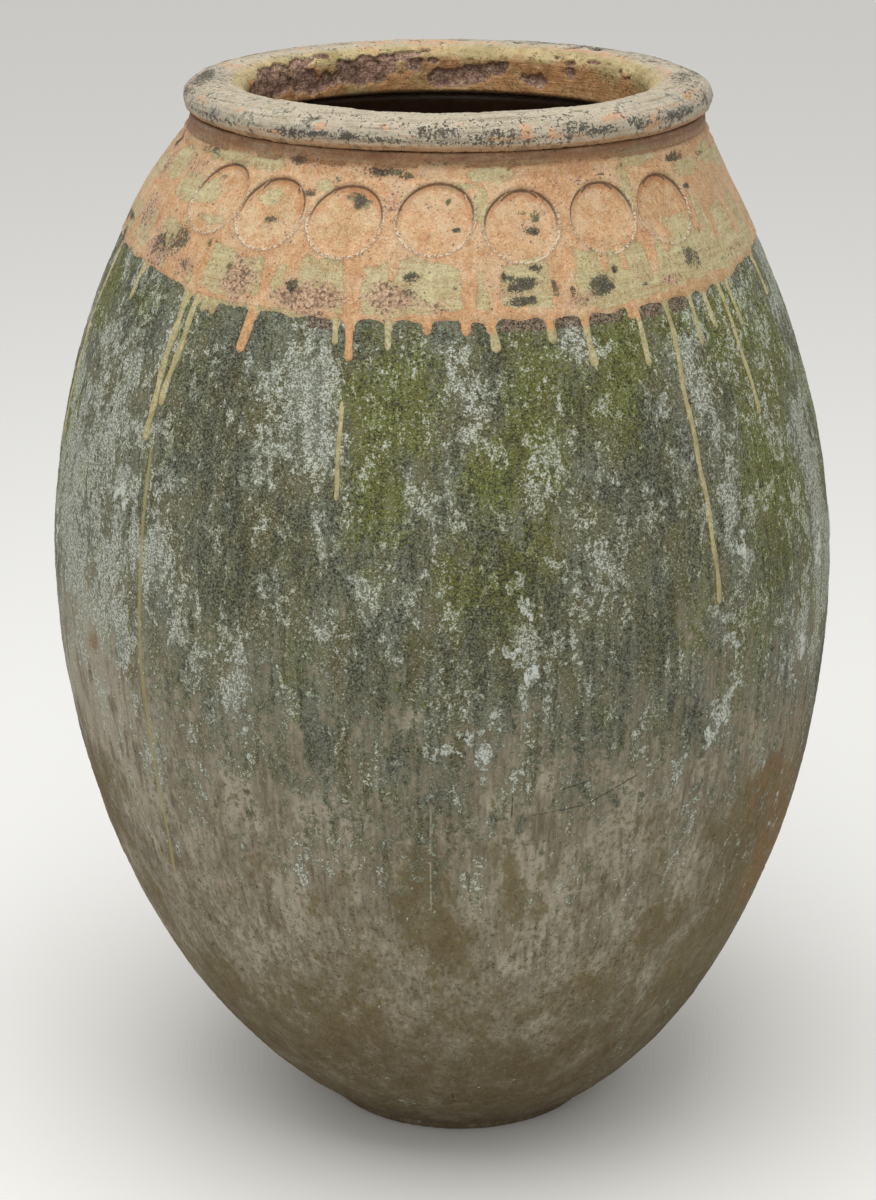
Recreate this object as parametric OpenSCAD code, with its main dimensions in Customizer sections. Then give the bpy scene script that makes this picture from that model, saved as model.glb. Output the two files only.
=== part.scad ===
// Oil-jar amphora: a coil-built earthenware storage jar with a glazed shoulder.
// The jar stands on the XY plane with its axis on +Z, and all lengths are in millimetres.
// The pot is laid up from a floor disc, five wall courses, a stamped shoulder course, a neck
// collar and a rolled rim. Each edge is pinched to a ridge that the next course is pressed over.

/* [Jar outline] */
// Height from the ground to the top of the rim
jar_h = 900; // [890:1:920]
// Outer radius at the belly, the widest place
belly_r = 329; // [320:1:340]
// Height of the belly above the ground
belly_z = 495; // [485:1:505]
// Distance below the belly at which the lower curve would close
lower_reach = 528; // [520:1:540]
// Distance above the belly at which the upper curve would close
upper_reach = 523; // [515:1:535]
// Thickness of the wall at the belly
wall_t = 25; // [20:1:30]
// Thickness of the floor in the middle
floor_t = 34; // [30:1:40]

/* [Courses] */
// Height of the joint on top of the floor disc
first_joint_z = 34; // [32:1:40]
// Height of the joint between the last wall course and the shoulder course
shoulder_z = 724; // [715:1:735]
// Height of the joint between the shoulder course and the neck collar
neck_z = 853; // [851:1:858]
// Height of the pinched ridge in each joint
key_h = 7; // [4:1:9]
// Width of the pinched ridge at its foot
key_w = 9; // [6:1:12]

/* [Mouth] */
// Radius of the open throat
mouth_r = 164; // [158:1:168]
// Outer radius of the rolled rim
rim_r = 215.4; // [213:0.1:218]
// Height of the rolled rim
rim_h = 30; // [26:1:32]
// Radius of the neck right under the rim
neck_r = 208; // [206:1:210]
// Height of the straight throat wall, below the rim's widest place
throat_h = 25; // [20:1:26]

/* [Stamps] */
// Number of round stamps on the front of the shoulder
stamp_count = 7; // [1:1:9]
// Angle from one stamp to the next
stamp_pitch = 16; // [15.5:0.1:18]
// Radius of a stamp
stamp_r = 29; // [24:1:30]
// Depth of a stamp's flat floor under the crown of the shoulder
stamp_depth = 3.6; // [3:0.1:4.5]
// Height of the stamps' centres
stamp_z = 824; // [815:1:825]

/* [Glaze] */
// Thickness of the glaze on the shoulder and inside
glaze_t = 1.2; // [0.8:0.1:2]
// Height of the glaze's lower edge on the shoulder
glaze_z = 755; // [745:1:765]

/* [Hidden] */
$fn = 180;

wall_courses = 5;
course_h = (shoulder_z - first_joint_z) / wall_courses;
outline_steps = 12;            // straight pieces of outline in one course

// Exponents that make each half of the egg a little fuller or leaner than an ellipse
lower_power = 2;
lower_root = 1.905;
upper_power = 1.84;
upper_root = 1.62;

foot_round = 8;                // height of the rounded edge under the foot
rim_z = jar_h - rim_h / 2;     // height of the rim's widest place
rim_half_w = (rim_r - mouth_r) / 2;
rim_mid_r = mouth_r + rim_half_w;
throat_z = rim_z - throat_h;   // lower end of the straight throat wall
// The collar's top lies where the underside of the roll crosses the neck radius
collar_z = rim_z - rim_h / 2 * sqrt(1 - pow((neck_r - rim_mid_r) / rim_half_w, 2));

clay = "#a89b84";
rim_clay = "#c2a990";
glaze_orange = "#d99a66";
glaze_yellow = "#b9ac78";
glaze_brown = "#5a4030";

// Runs of glaze that ran down over the belly: [angle from the front, length, width]
runs = [
    [-47, 110, 8], [-44, 80, 8], [-32, 30, 11], [-16.5, 16, 6], [-14, 28, 8], [-8, 18, 7],
    [4, 10, 9], [8.5, 20, 9], [18, 15, 8], [24, 36, 8], [34, 40, 8], [40.5, 228, 8],
    [46, 34, 7], [50, 28, 7], [55.5, 102, 7], [58, 36, 6]
];

// Radius of the egg-shaped outline at height z, moved in by inset all round
function egg_r(z, inset = 0) =
    let (below = z < belly_z)
    let (reach = (below ? lower_reach : upper_reach) - inset)
    let (power = below ? lower_power : upper_power)
    let (root = below ? lower_root : upper_root)
    (belly_r - inset) * pow(1 - pow(abs(z - belly_z) / reach, power), 1 / root);

function outer_r(z) = egg_r(z);
function inner_r(z) = egg_r(z, wall_t);

lap_r = inner_r(neck_z);       // where the rim's skirt laps against the inside of the collar

// Points of the outline from height z0 to z1, moved out by grow
function outer_line(z0, z1, grow = 0, steps = outline_steps) =
    [for (i = [0:steps]) let (z = z0 + (z1 - z0) * i / steps) [outer_r(z) + grow, z]];

function inner_line(z0, z1, grow = 0, steps = outline_steps) =
    [for (i = [0:steps]) let (z = z0 + (z1 - z0) * i / steps) [inner_r(z) + grow, z]];

// Quadratic curve from a to c that leaves and arrives towards b
function bend(a, b, c, steps = 6) =
    [for (i = [0:steps]) let (t = i / steps) pow(1 - t, 2) * a + 2 * t * (1 - t) * b + t * t * c];

// The keyed joint at height z, from the outside to the inside
function keyed_joint(z) =
    let (middle = (outer_r(z) + inner_r(z)) / 2)
    [
        [outer_r(z), z],
        [middle + key_w / 2, z],
        [middle, z + key_h],
        [middle - key_w / 2, z],
        [inner_r(z), z]
    ];

function reversed(points) = [for (i = [len(points) - 1:-1:0]) points[i]];

function collar_line(grow = 0) =
    bend([outer_r(neck_z) + grow, neck_z], [neck_r + grow, neck_z + 10], [neck_r + grow, collar_z]);

function rim_point(angle) = [rim_mid_r + rim_half_w * cos(angle), rim_z + rim_h / 2 * sin(angle)];

module revolved(points) {
    rotate_extrude() polygon(points);
}

// Flat-ended round punch, square to the shoulder, whose face stops depth below the surface
module stamp_punch(radius, depth) {
    slope = (outer_r(stamp_z + 1) - outer_r(stamp_z - 1)) / 2;
    translate([outer_r(stamp_z), 0, stamp_z])
        rotate([0, 90 + atan(slope), 0])
            translate([0, 0, -depth])
                cylinder(r = radius, h = 30);
}

// The row of stamps, centred on the front, which looks along -Y
module stamp_row(radius, depth) {
    for (i = [0:stamp_count - 1])
        rotate([0, 0, -90 + (i - (stamp_count - 1) / 2) * stamp_pitch])
            stamp_punch(radius, depth);
}

module base_disc() {
    color(clay)
        revolved(concat(
            [[0, 0]],
            bend([outer_r(0) - foot_round, 0], [outer_r(0), 0], [outer_r(foot_round), foot_round]),
            outer_line(foot_round, first_joint_z, steps = 3),
            keyed_joint(first_joint_z),
            [[0, floor_t]]
        ));
}

module wall_course(number) {
    low_z = first_joint_z + (number - 1) * course_h;
    color(clay)
        revolved(concat(
            outer_line(low_z, low_z + course_h),
            keyed_joint(low_z + course_h),
            reversed(inner_line(low_z, low_z + course_h)),
            reversed(keyed_joint(low_z))
        ));
}

module shoulder_course() {
    color(clay)
        difference() {
            revolved(concat(
                outer_line(shoulder_z, neck_z),
                keyed_joint(neck_z),
                reversed(inner_line(shoulder_z, neck_z)),
                reversed(keyed_joint(shoulder_z))
            ));
            stamp_row(stamp_r, stamp_depth);
        }
}

module neck_collar() {
    color(rim_clay)
        revolved(concat(
            collar_line(),
            [[lap_r, collar_z]],
            reversed(keyed_joint(neck_z))
        ));
}

// The rolled rim, whose skirt reaches down inside the collar and ends in a bevel
module rim_roll() {
    underside = asin((rim_z - collar_z) / (rim_h / 2));
    color(rim_clay)
        revolved(concat(
            [[lap_r, neck_z], [lap_r, collar_z]],
            [for (i = [4:-1:1]) rim_point(-underside * i / 4)],
            [for (i = [0:24]) rim_point(180 * i / 24)],
            [[mouth_r, throat_z]]
        ));
}

// Glaze on the shoulder and collar, down to glaze_z, which also lines the stamps
module shoulder_glaze() {
    color(glaze_orange)
        difference() {
            difference() {
                revolved(concat(
                    outer_line(glaze_z, neck_z, glaze_t),
                    collar_line(glaze_t),
                    [[0, collar_z], [0, glaze_z]]
                ));
                stamp_row(stamp_r - glaze_t, stamp_depth - glaze_t);
            }
            difference() {
                revolved(concat(
                    outer_line(glaze_z, neck_z),
                    collar_line(),
                    [[0, collar_z + 1], [0, glaze_z - 1], [outer_r(glaze_z) - 1, glaze_z - 1]]
                ));
                stamp_row(stamp_r, stamp_depth);
            }
        }
}

// One run of glaze from the band's edge, as a thin strip that follows the wall
module glaze_run(angle, length, width) {
    turn = width / outer_r(glaze_z) * 180 / PI;
    steps = max(2, ceil(length / 20));
    rotate([0, 0, -90 + angle - turn / 2])
        rotate_extrude(angle = turn)
            polygon(concat(
                outer_line(glaze_z - length, glaze_z, glaze_t, steps),
                reversed(outer_line(glaze_z - length, glaze_z, 0, steps))
            ));
}

module glaze_runs() {
    color(glaze_yellow)
        for (run = runs)
            glaze_run(run[0], run[1], run[2]);
}

// Glaze lining of the inside, from the middle of the floor to the foot of the collar
module inner_glaze() {
    floor_line = [[0, floor_t], [inner_r(first_joint_z), first_joint_z]];
    color(glaze_brown)
        revolved(concat(
            floor_line,
            inner_line(first_joint_z, neck_z, 0, 40),
            reversed(inner_line(first_joint_z + glaze_t, neck_z, -glaze_t, 40)),
            [[0, floor_t + glaze_t]]
        ));
}

base_disc();
wall_course(1);  // wall_course_1
wall_course(2);  // wall_course_2
wall_course(3);  // wall_course_3
wall_course(4);  // wall_course_4
wall_course(5);  // wall_course_5
shoulder_course();
neck_collar();
rim_roll();
shoulder_glaze();
glaze_runs();
inner_glaze();
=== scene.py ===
# %% [markdown]
# # A glazed and weathered oil jar
# This jar was built up from coils of clay on a floor disc, course by course, and each course was
# beaten and scraped smooth before the next. The potter rolled the rim, pressed a row of round
# stamps into the shoulder, and dipped the shoulder in glaze, which ran down over the raw clay.
# Years outdoors then covered the raw clay with moss, lichen and dust.
#
# The lesson follows the same order. It reads the wall's outline from the CAD model, turns every
# clay piece from a section on a "wheel" made of Geometry Nodes, weathers the clay with a second
# tree, lays the glaze over it, and paints each surface from the same lists of marks.

import math
import random

import bpy
import numpy as np
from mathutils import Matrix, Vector


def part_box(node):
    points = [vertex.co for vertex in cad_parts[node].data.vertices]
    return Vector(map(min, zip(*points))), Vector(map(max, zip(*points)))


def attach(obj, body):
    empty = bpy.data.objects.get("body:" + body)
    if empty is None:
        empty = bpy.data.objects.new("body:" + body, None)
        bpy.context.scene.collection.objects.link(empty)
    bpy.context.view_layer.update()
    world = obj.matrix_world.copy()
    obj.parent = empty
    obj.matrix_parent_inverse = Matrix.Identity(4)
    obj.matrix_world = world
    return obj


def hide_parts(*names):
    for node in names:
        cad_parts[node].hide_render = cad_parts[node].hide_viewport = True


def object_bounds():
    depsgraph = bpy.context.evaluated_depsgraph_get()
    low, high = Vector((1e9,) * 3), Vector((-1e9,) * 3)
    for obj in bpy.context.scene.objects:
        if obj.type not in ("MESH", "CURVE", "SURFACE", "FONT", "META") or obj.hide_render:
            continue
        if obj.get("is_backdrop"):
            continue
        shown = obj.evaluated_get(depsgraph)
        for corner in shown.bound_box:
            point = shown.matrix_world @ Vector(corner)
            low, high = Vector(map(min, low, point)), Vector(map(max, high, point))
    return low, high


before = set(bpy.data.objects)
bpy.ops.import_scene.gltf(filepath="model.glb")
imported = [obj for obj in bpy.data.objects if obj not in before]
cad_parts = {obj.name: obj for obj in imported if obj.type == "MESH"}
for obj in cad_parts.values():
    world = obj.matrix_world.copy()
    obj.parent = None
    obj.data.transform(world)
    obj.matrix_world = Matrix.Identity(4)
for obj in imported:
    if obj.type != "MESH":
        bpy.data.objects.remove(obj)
low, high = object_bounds()
MM = 0.001
jar_height = high[2]

# %% [markdown]
# ## Light, floor and camera
# A pot this size stands outdoors, under a white sky. A white world gives that even light,
# and one wide lamp overhead makes the top of the rim bright and the underside dim. The camera
# stands two and a half metres away and looks down by about nineteen degrees. Colours are shown
# without a film curve, so a clay swatch comes out as it was picked.

# %% Camera, world, lamps and floor
scene = bpy.context.scene
scene.view_settings.view_transform = "Standard"

CAMERA_DISTANCE = 2.5
CAMERA_HEIGHT = 1.293
CAMERA_DOWN = 18.68
LENS = 91.9

camera_data = bpy.data.cameras.new("camera")
camera_data.lens = LENS
camera_data.sensor_width = 36
camera = bpy.data.objects.new("camera", camera_data)
camera.location = (-0.0025, -CAMERA_DISTANCE, CAMERA_HEIGHT)
camera.rotation_euler = (math.radians(90 - CAMERA_DOWN), 0, 0)
scene.collection.objects.link(camera)
scene.camera = camera

world = bpy.data.worlds.new("white_sky")
world.use_nodes = True
world.node_tree.nodes["Background"].inputs["Color"].default_value = (1.0, 0.99, 0.97, 1)
world.node_tree.nodes["Background"].inputs["Strength"].default_value = 0.62
scene.world = world


def add_lamp(name, place, target, size, watts):
    """A square soft lamp at place that shines on target."""
    data = bpy.data.lights.new(name, "AREA")
    data.size = size
    data.energy = watts
    lamp = bpy.data.objects.new(name, data)
    lamp.location = place
    aim = Vector(target) - Vector(place)
    lamp.rotation_euler = aim.to_track_quat("-Z", "Y").to_euler()
    scene.collection.objects.link(lamp)
    return lamp


add_lamp("overhead", (-0.2, -0.7, 3.2), (0, 0, 0.5), 2.6, 62)
add_lamp("front_fill", (-0.6, -3.6, 1.9), (0, 0, 0.55), 1.8, 14)

FLOOR_HALF = 20
floor_mesh = bpy.data.meshes.new("floor")
floor_corners = [(-1, -1), (1, -1), (1, 1), (-1, 1)]
floor_mesh.from_pydata([(x * FLOOR_HALF, y * FLOOR_HALF, 0) for x, y in floor_corners], [], [(0, 1, 2, 3)])
floor = bpy.data.objects.new("floor", floor_mesh)
scene.collection.objects.link(floor)
floor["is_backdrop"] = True
print("Stage: camera, white world, two lamps and a floor")

# %% [markdown]
# ## Numbers that flow through nodes
# Node trees for shapes and for paint are mostly arithmetic. Adding a node and a link by hand for
# every sum is slow to read, so one small class stands for "a value at every point". It can be
# added, multiplied and mixed like a number, and it makes the nodes as it goes. It works in shape
# trees and in materials alike, because both kinds know the same math nodes.

# %% A value at every point


def plug(tree, socket, value):
    """Feeds a socket with a Flow, a socket or a plain value."""
    if isinstance(value, Flow):
        tree.links.new(value.socket, socket)
    elif isinstance(value, bpy.types.NodeSocket):
        tree.links.new(value, socket)
    else:
        socket.default_value = value


def add_node(tree, kind, inputs=(), output=0, **settings):
    """Adds a node, sets its options, feeds its inputs by name or number, and returns one output."""
    node = tree.nodes.new(kind)
    for name, value in settings.items():
        setattr(node, name, value)
    for name, value in dict(inputs).items():
        plug(tree, node.inputs[name], value)
    return Flow(tree, node.outputs[output])


class Flow:
    """A value at every point of a surface, carried by a socket."""

    def __init__(self, tree, socket):
        self.tree = tree
        self.socket = socket

    def math(self, operation, *others, clamp=False):
        node = self.tree.nodes.new("ShaderNodeMath")
        node.operation = operation
        node.use_clamp = clamp
        for number, value in enumerate((self, *others)):
            plug(self.tree, node.inputs[number], value)
        return Flow(self.tree, node.outputs[0])

    def __add__(self, other):
        return self.math("ADD", other)

    def __sub__(self, other):
        return self.math("SUBTRACT", other)

    def __mul__(self, other):
        return self.math("MULTIPLY", other)

    def __truediv__(self, other):
        return self.math("DIVIDE", other)

    def clamp(self):
        return self.math("ADD", 0.0, clamp=True)

    def inverse(self):
        return (self * -1.0 + 1.0).clamp()

    def sharpen(self, gain):
        """More contrast about the middle."""
        return ((self - 0.5) * gain + 0.5).clamp()

    def ramp(self, start, end):
        """0 up to start, 1 from end on, and a smooth change between."""
        ends = {"Value": self, "From Min": start, "From Max": end, "To Min": 0.0, "To Max": 1.0}
        return add_node(self.tree, "ShaderNodeMapRange", ends, interpolation_type="SMOOTHSTEP")

    def vector(self, operation, *others, output=0):
        node = self.tree.nodes.new("ShaderNodeVectorMath")
        node.operation = operation
        for number, value in enumerate((self, *others)):
            plug(self.tree, node.inputs[number], value)
        return Flow(self.tree, node.outputs[output])

    def scaled(self, factor):
        node = self.tree.nodes.new("ShaderNodeVectorMath")
        node.operation = "SCALE"
        plug(self.tree, node.inputs[0], self)
        plug(self.tree, node.inputs["Scale"], factor)
        return Flow(self.tree, node.outputs[0])

    def noise(self, size, detail=3.0, roughness=0.5, stretch=(1, 1, 1), distortion=0.0):
        """Cloudy noise about 0 to 1, whose spots are size millimetres across."""
        place = self.vector("MULTIPLY", stretch)
        node = self.tree.nodes.new("ShaderNodeTexNoise")
        plug(self.tree, node.inputs["Vector"], place)
        node.inputs["Scale"].default_value = 1000.0 / size
        node.inputs["Detail"].default_value = detail
        node.inputs["Roughness"].default_value = roughness
        node.inputs["Distortion"].default_value = distortion
        # Blender's noise keeps to about 0.28 to 0.72, so it is stretched to 0 to 1
        return (Flow(self.tree, node.outputs[0]) - 0.28) * 2.27

    def chips(self, size):
        """Distance from the middle of the nearest of many rough chips, about 0 to 1."""
        inputs = {"Vector": self, "Scale": 1000.0 / size}
        return add_node(self.tree, "ShaderNodeTexVoronoi", inputs, output="Distance") * 1.4


print("Numbers that flow are ready")

# %% [markdown]
# ## Trees that make shapes
# A Geometry Nodes tree is a machine with labelled inputs: a mesh goes in, and a changed mesh comes
# out. A modifier could keep it live, but every piece here is wanted as a plain mesh, so a tree is
# run once on a carrier object, its result is copied, and the modifier is taken away again.

# %% Shape trees


def new_shape_tree(name, inputs):
    """An empty Geometry Nodes tree with named inputs, and its input node's sockets by name."""
    tree = bpy.data.node_groups.new(name, "GeometryNodeTree")
    tree.interface.new_socket("Geometry", in_out="INPUT", socket_type="NodeSocketGeometry")
    for title, kind in inputs.items():
        tree.interface.new_socket(title, in_out="INPUT", socket_type="NodeSocket" + kind)
    tree.interface.new_socket("Geometry", in_out="OUTPUT", socket_type="NodeSocketGeometry")
    entry = tree.nodes.new("NodeGroupInput")
    return tree, {socket.name: Flow(tree, socket) for socket in entry.outputs if socket.name}


def end_shape_tree(tree, geometry, material):
    """Ends a tree in Realize Instances and Set Material."""
    real = add_node(tree, "GeometryNodeRealizeInstances", {"Geometry": geometry})
    dressed = add_node(tree, "GeometryNodeSetMaterial", {"Geometry": real, "Material": material})
    leave = tree.nodes.new("NodeGroupOutput")
    tree.links.new(dressed.socket, leave.inputs[0])


def run_shape_tree(tree, carrier, name, **settings):
    """Runs a tree on an object through a modifier, and returns the result as a plain mesh."""
    modifier = carrier.modifiers.new("tree", "NODES")
    modifier.node_group = tree
    for item in tree.interface.items_tree:
        if item.in_out == "INPUT" and item.name in settings:
            modifier[item.identifier] = settings[item.name]
    bpy.context.view_layer.update()
    depsgraph = bpy.context.evaluated_depsgraph_get()
    made = bpy.data.meshes.new_from_object(
        carrier.evaluated_get(depsgraph), preserve_all_data_layers=True, depsgraph=depsgraph
    )
    made.name = name
    carrier.modifiers.remove(modifier)
    return made


def kept_attribute(tree, geometry, name, value, data_type="FLOAT"):
    """Writes a value on every point under a name, for later steps and for the material."""
    inputs = {"Geometry": geometry, "Name": name, "Value": value}
    return add_node(tree, "GeometryNodeStoreNamedAttribute", inputs, data_type=data_type)


def read_attribute(tree, name, data_type="FLOAT"):
    return add_node(tree, "GeometryNodeInputNamedAttribute", {"Name": name}, data_type=data_type)


print("Shape trees are ready")

# %% [markdown]
# ## Numbers on a mesh
# Each layer of paint is one number on every vertex, stored under a name. A material reads it by
# that name, and it stays with the clay wherever the piece is used. Whole layers are read and
# written at once, because a loop over a hundred thousand vertices would be slow.

# %% Numbers on a mesh


def new_object(name, mesh):
    """Links a mesh to the scene at the origin, unturned and unscaled."""
    thing = bpy.data.objects.new(name, mesh)
    scene.collection.objects.link(thing)
    return thing


def write_floats(mesh, name, values):
    """Stores one number for every vertex under a name."""
    layer = mesh.attributes.get(name) or mesh.attributes.new(name, "FLOAT", "POINT")
    layer.data.foreach_set("value", np.asarray(values, np.float32))


def read_floats(mesh, name):
    values = np.empty(len(mesh.vertices), np.float32)
    mesh.attributes[name].data.foreach_get("value", values)
    return values


def vertex_places(mesh):
    places = np.empty(len(mesh.vertices) * 3, np.float32)
    mesh.vertices.foreach_get("co", places)
    return places.reshape(-1, 3).astype(float)


print("Mesh helpers are ready")

# %% [markdown]
# ## The outline of the wall
# Every piece has to lie where the CAD has it, so the outline isn't typed in again. Rays shot from
# behind at the wall's nodes give the outer radius at each height, and rays from the axis give the
# inner radius. The CAD wall is made of short straight steps, so a moving average rounds them off.

# %% Measure the wall with rays
WALL_NODES = [
    "base_disc", "wall_course_1", "wall_course_2", "wall_course_3", "wall_course_4",
    "wall_course_5", "shoulder_course", "neck_collar",
]
RAY_STEP = 2
collar_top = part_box("neck_collar")[1].z / MM
ray_heights = np.arange(1.0, collar_top, RAY_STEP)


def ray_radius(height, start, toward):
    """The radius, in millimetres, of the first wall that a level ray meets at a height."""
    best = []
    for name in WALL_NODES:
        found, place, _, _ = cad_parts[name].ray_cast((0, start, height * MM), (0, toward, 0))
        if found:
            best.append(place.y / MM)
    if not best:
        return 0.0
    return max(best) if toward < 0 else min(best)


def rounded(values, reach=7):
    """Moving average that carries on the slope at both ends."""
    window = np.hanning(2 * reach + 1)
    before = 2 * values[0] - values[reach:0:-1]
    after = 2 * values[-1] - values[-2:-reach - 2:-1]
    return np.convolve(np.concatenate([before, values, after]), window / window.sum(), "valid")


bpy.context.view_layer.update()
outer_found = rounded(np.array([ray_radius(height, 1.0, -1) for height in ray_heights]))
inner_heights = ray_heights[ray_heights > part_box("base_disc")[1].z / MM]
inner_found = rounded(np.array([ray_radius(height, 0.0, 1) for height in inner_heights]))


def outer_radius(height):
    return np.interp(height, ray_heights, outer_found)


def inner_radius(height):
    return np.interp(height, inner_heights, inner_found)


print("Outer radius:", [round(float(outer_radius(h))) for h in (10, 250, 495, 750, 850)])

# %% [markdown]
# ## A wheel made of nodes
# A coil-built jar is round because it turns while it is shaped, so its main pieces follow one
# rule: a section swept round the axis. The tree takes a section drawn as a row of points, lays it
# out as a grid of rows and columns, and bends the grid round the axis. Merging the doubled points
# closes the ring and the poles. The columns crowd towards the front, where the finest marks are.
# Each point of the section also carries its outward direction, whether it is skin that weather
# reaches, and whether it is a corner.

# %% The turning tree
turning, turn_in = new_shape_tree(
    "turn_on_the_wheel",
    {"Section": "Object", "Rows": "Int", "Columns": "Int", "Crowding": "Float", "Material": "Material"},
)
grid_sides = {"Vertices X": turn_in["Columns"] + 1.0, "Vertices Y": turn_in["Rows"]}
grid = add_node(turning, "GeometryNodeMeshGrid", grid_sides)
number = add_node(turning, "GeometryNodeInputIndex")
column = (number / turn_in["Rows"]).math("FLOOR")
row = number - column * turn_in["Rows"]
section_points = add_node(turning, "GeometryNodeObjectInfo", {"Object": turn_in["Section"]}, "Geometry")


def from_section(value, data_type):
    inputs = {"Geometry": section_points, "Value": value, "Index": row}
    return add_node(turning, "GeometryNodeSampleIndex", inputs, data_type=data_type)


part_of_turn = column / turn_in["Columns"]
wave = (part_of_turn * (2 * math.pi)).math("SINE")
turn_angle = part_of_turn * (2 * math.pi) - wave * turn_in["Crowding"]
spin = {"Axis": (0, 0, 1), "Angle": turn_angle}


def swung(flat):
    """A point or direction of the section, swung round the axis to its column."""
    return add_node(turning, "ShaderNodeVectorRotate", {"Vector": flat, **spin}, rotation_type="AXIS_ANGLE")


section_place = from_section(add_node(turning, "GeometryNodeInputPosition"), "FLOAT_VECTOR")
section_out = from_section(read_attribute(turning, "out", "FLOAT_VECTOR"), "FLOAT_VECTOR")
wrapped = add_node(
    turning, "GeometryNodeSetPosition", {"Geometry": grid, "Position": swung(section_place)}
)
wrapped = kept_attribute(turning, wrapped, "out", swung(section_out), "FLOAT_VECTOR")
for mark in ("skin", "corner", "lift"):
    wrapped = kept_attribute(turning, wrapped, mark, from_section(read_attribute(turning, mark), "FLOAT"))
closed = add_node(turning, "GeometryNodeMergeByDistance", {"Geometry": wrapped, "Distance": 0.00001})
smooth = add_node(turning, "GeometryNodeSetShadeSmooth", {"Geometry": closed})
end_shape_tree(turning, smooth, turn_in["Material"])


def turned(name, rows, columns, crowding=0.45):
    """Turns rows of (radius, height, outward r, outward z, skin, corner, lift) into a closed mesh."""
    rows = np.array(rows, float)
    section_mesh = bpy.data.meshes.new(name + "_section")
    flat = np.zeros((len(rows), 3))
    flat[:, 1] = -rows[:, 0] * MM
    flat[:, 2] = rows[:, 1] * MM
    section_mesh.from_pydata(flat.tolist(), [], [])
    outward = np.zeros((len(rows), 3))
    outward[:, 1] = -rows[:, 2]
    outward[:, 2] = rows[:, 3]
    layer = section_mesh.attributes.new("out", "FLOAT_VECTOR", "POINT")
    layer.data.foreach_set("vector", outward.ravel())
    for mark, values in zip(("skin", "corner", "lift"), rows[:, 4:].T):
        write_floats(section_mesh, mark, values)
    section = new_object(name + "_section", section_mesh)
    carrier = new_object("carrier", bpy.data.meshes.new("carrier"))
    made = run_shape_tree(
        turning, carrier, name, Section=section, Rows=len(rows), Columns=columns, Crowding=crowding
    )
    bpy.data.objects.remove(carrier)
    bpy.data.objects.remove(section)
    return made


def wall_row(height, skin=1, corner=0, lift=0.0, grow=0.0):
    """A row of a section on the outside of the wall."""
    lean_in = (outer_radius(height + 3) - outer_radius(height - 3)) / 6
    length = math.hypot(1, lean_in)
    return (outer_radius(height) + grow, height, 1 / length, -lean_in / length, skin, corner, lift)


def plain_row(radius, height, corner=0):
    """A row that weather doesn't reach."""
    return (radius, height, 0, 0, 0, corner, 0)


print("The wheel is ready")

# %% [markdown]
# ## Weather and wear as relief
# Clay that was worked by hand is never quite even. The wall swells a little, shows its coils and
# the strokes of the scraper, and grows a rough skin outdoors. A second tree adds all this along
# each point's outward direction. The same tree presses the stamps: a flat die that is pushed
# against a round shoulder flattens it, so every point under the die moves back to the die's face,
# and the clay it displaces stands up as a thin lip round it. Last, each layer is lifted to its
# own height, so that glaze lies over the clay and never cuts through it.

# %% The weathering tree
weather, weather_in = new_shape_tree(
    "weather_the_skin",
    {"Stamps": "Object", "Stamp Radius": "Float", "Stamp Depth": "Float", "Swell": "Float",
     "Grit": "Float", "Spall Depth": "Float", "Crust Height": "Float", "Material": "Material"},
)
place = add_node(weather, "GeometryNodeInputPosition")
out = read_attribute(weather, "out", "FLOAT_VECTOR")
swell = (place.noise(170, 1) - 0.5) * weather_in["Swell"]
coils = (place.noise(46, 1, stretch=(0.15, 0.15, 1)) - 0.5) * 0.5
strokes = (place.noise(11, 2, stretch=(1, 1, 0.08)) - 0.5) * 0.3
lumps = (place.noise(24, 2) - 0.5) * weather_in["Grit"]
grit = (place.noise(5.5, 3, 0.6) - 0.5) * weather_in["Grit"] * 0.9
pits = place.noise(10, 1).ramp(0.86, 0.98) * -0.9
crusts = (read_attribute(weather, "crust") + place.noise(11, 4, 0.6) - 0.95).ramp(0, 0.12)
chips = place.chips(9)
spall = read_attribute(weather, "spall")
bursts = (spall + place.noise(20, 4, 0.65) * 0.5 - chips * 0.45 - 0.5).ramp(0, 0.1)
worn_in = bursts * weather_in["Spall Depth"] * (place.noise(6, 3, 0.7) * 0.7 - chips * 0.5 + 0.9)
relief = swell + coils + strokes + lumps + grit + pits + crusts * weather_in["Crust Height"] - worn_in
relief = (relief + read_attribute(weather, "dent")) * read_attribute(weather, "skin")
rough_place = place.vector("ADD", out.scaled(relief * MM))

stamp_points = add_node(weather, "GeometryNodeObjectInfo", {"Object": weather_in["Stamps"]}, "Geometry")
nearest = add_node(
    weather, "GeometryNodeSampleNearest", {"Geometry": stamp_points, "Sample Position": place}
)


def from_stamp(value):
    inputs = {"Geometry": stamp_points, "Value": value, "Index": nearest}
    return add_node(weather, "GeometryNodeSampleIndex", inputs, data_type="FLOAT_VECTOR")


die_centre = from_stamp(add_node(weather, "GeometryNodeInputPosition"))
die_axis = from_stamp(read_attribute(weather, "out", "FLOAT_VECTOR"))
from_die = rough_place.vector("SUBTRACT", die_centre)
along_die = from_die.vector("DOT_PRODUCT", die_axis, output=1)
across_die = from_die.vector("SUBTRACT", die_axis.scaled(along_die)).vector("LENGTH", output=1)
beyond = (across_die - weather_in["Stamp Radius"]) / MM
under_die = beyond.ramp(0.9, -0.9)
push = (along_die * -1.0 - weather_in["Stamp Depth"]).math("MINIMUM", 0.0) * under_die
lip = (beyond - 1.8).ramp(-2.4, 0) * (beyond - 1.8).ramp(2.4, 0) * (0.55 * MM)
pressed = rough_place.vector("ADD", die_axis.scaled(push + lip))
lifted = pressed.vector("ADD", out.scaled(read_attribute(weather, "lift") * MM))
marked = kept_attribute(weather, weather_in["Geometry"], "raised", crusts)
marked = kept_attribute(weather, marked, "burst", bursts)
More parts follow.
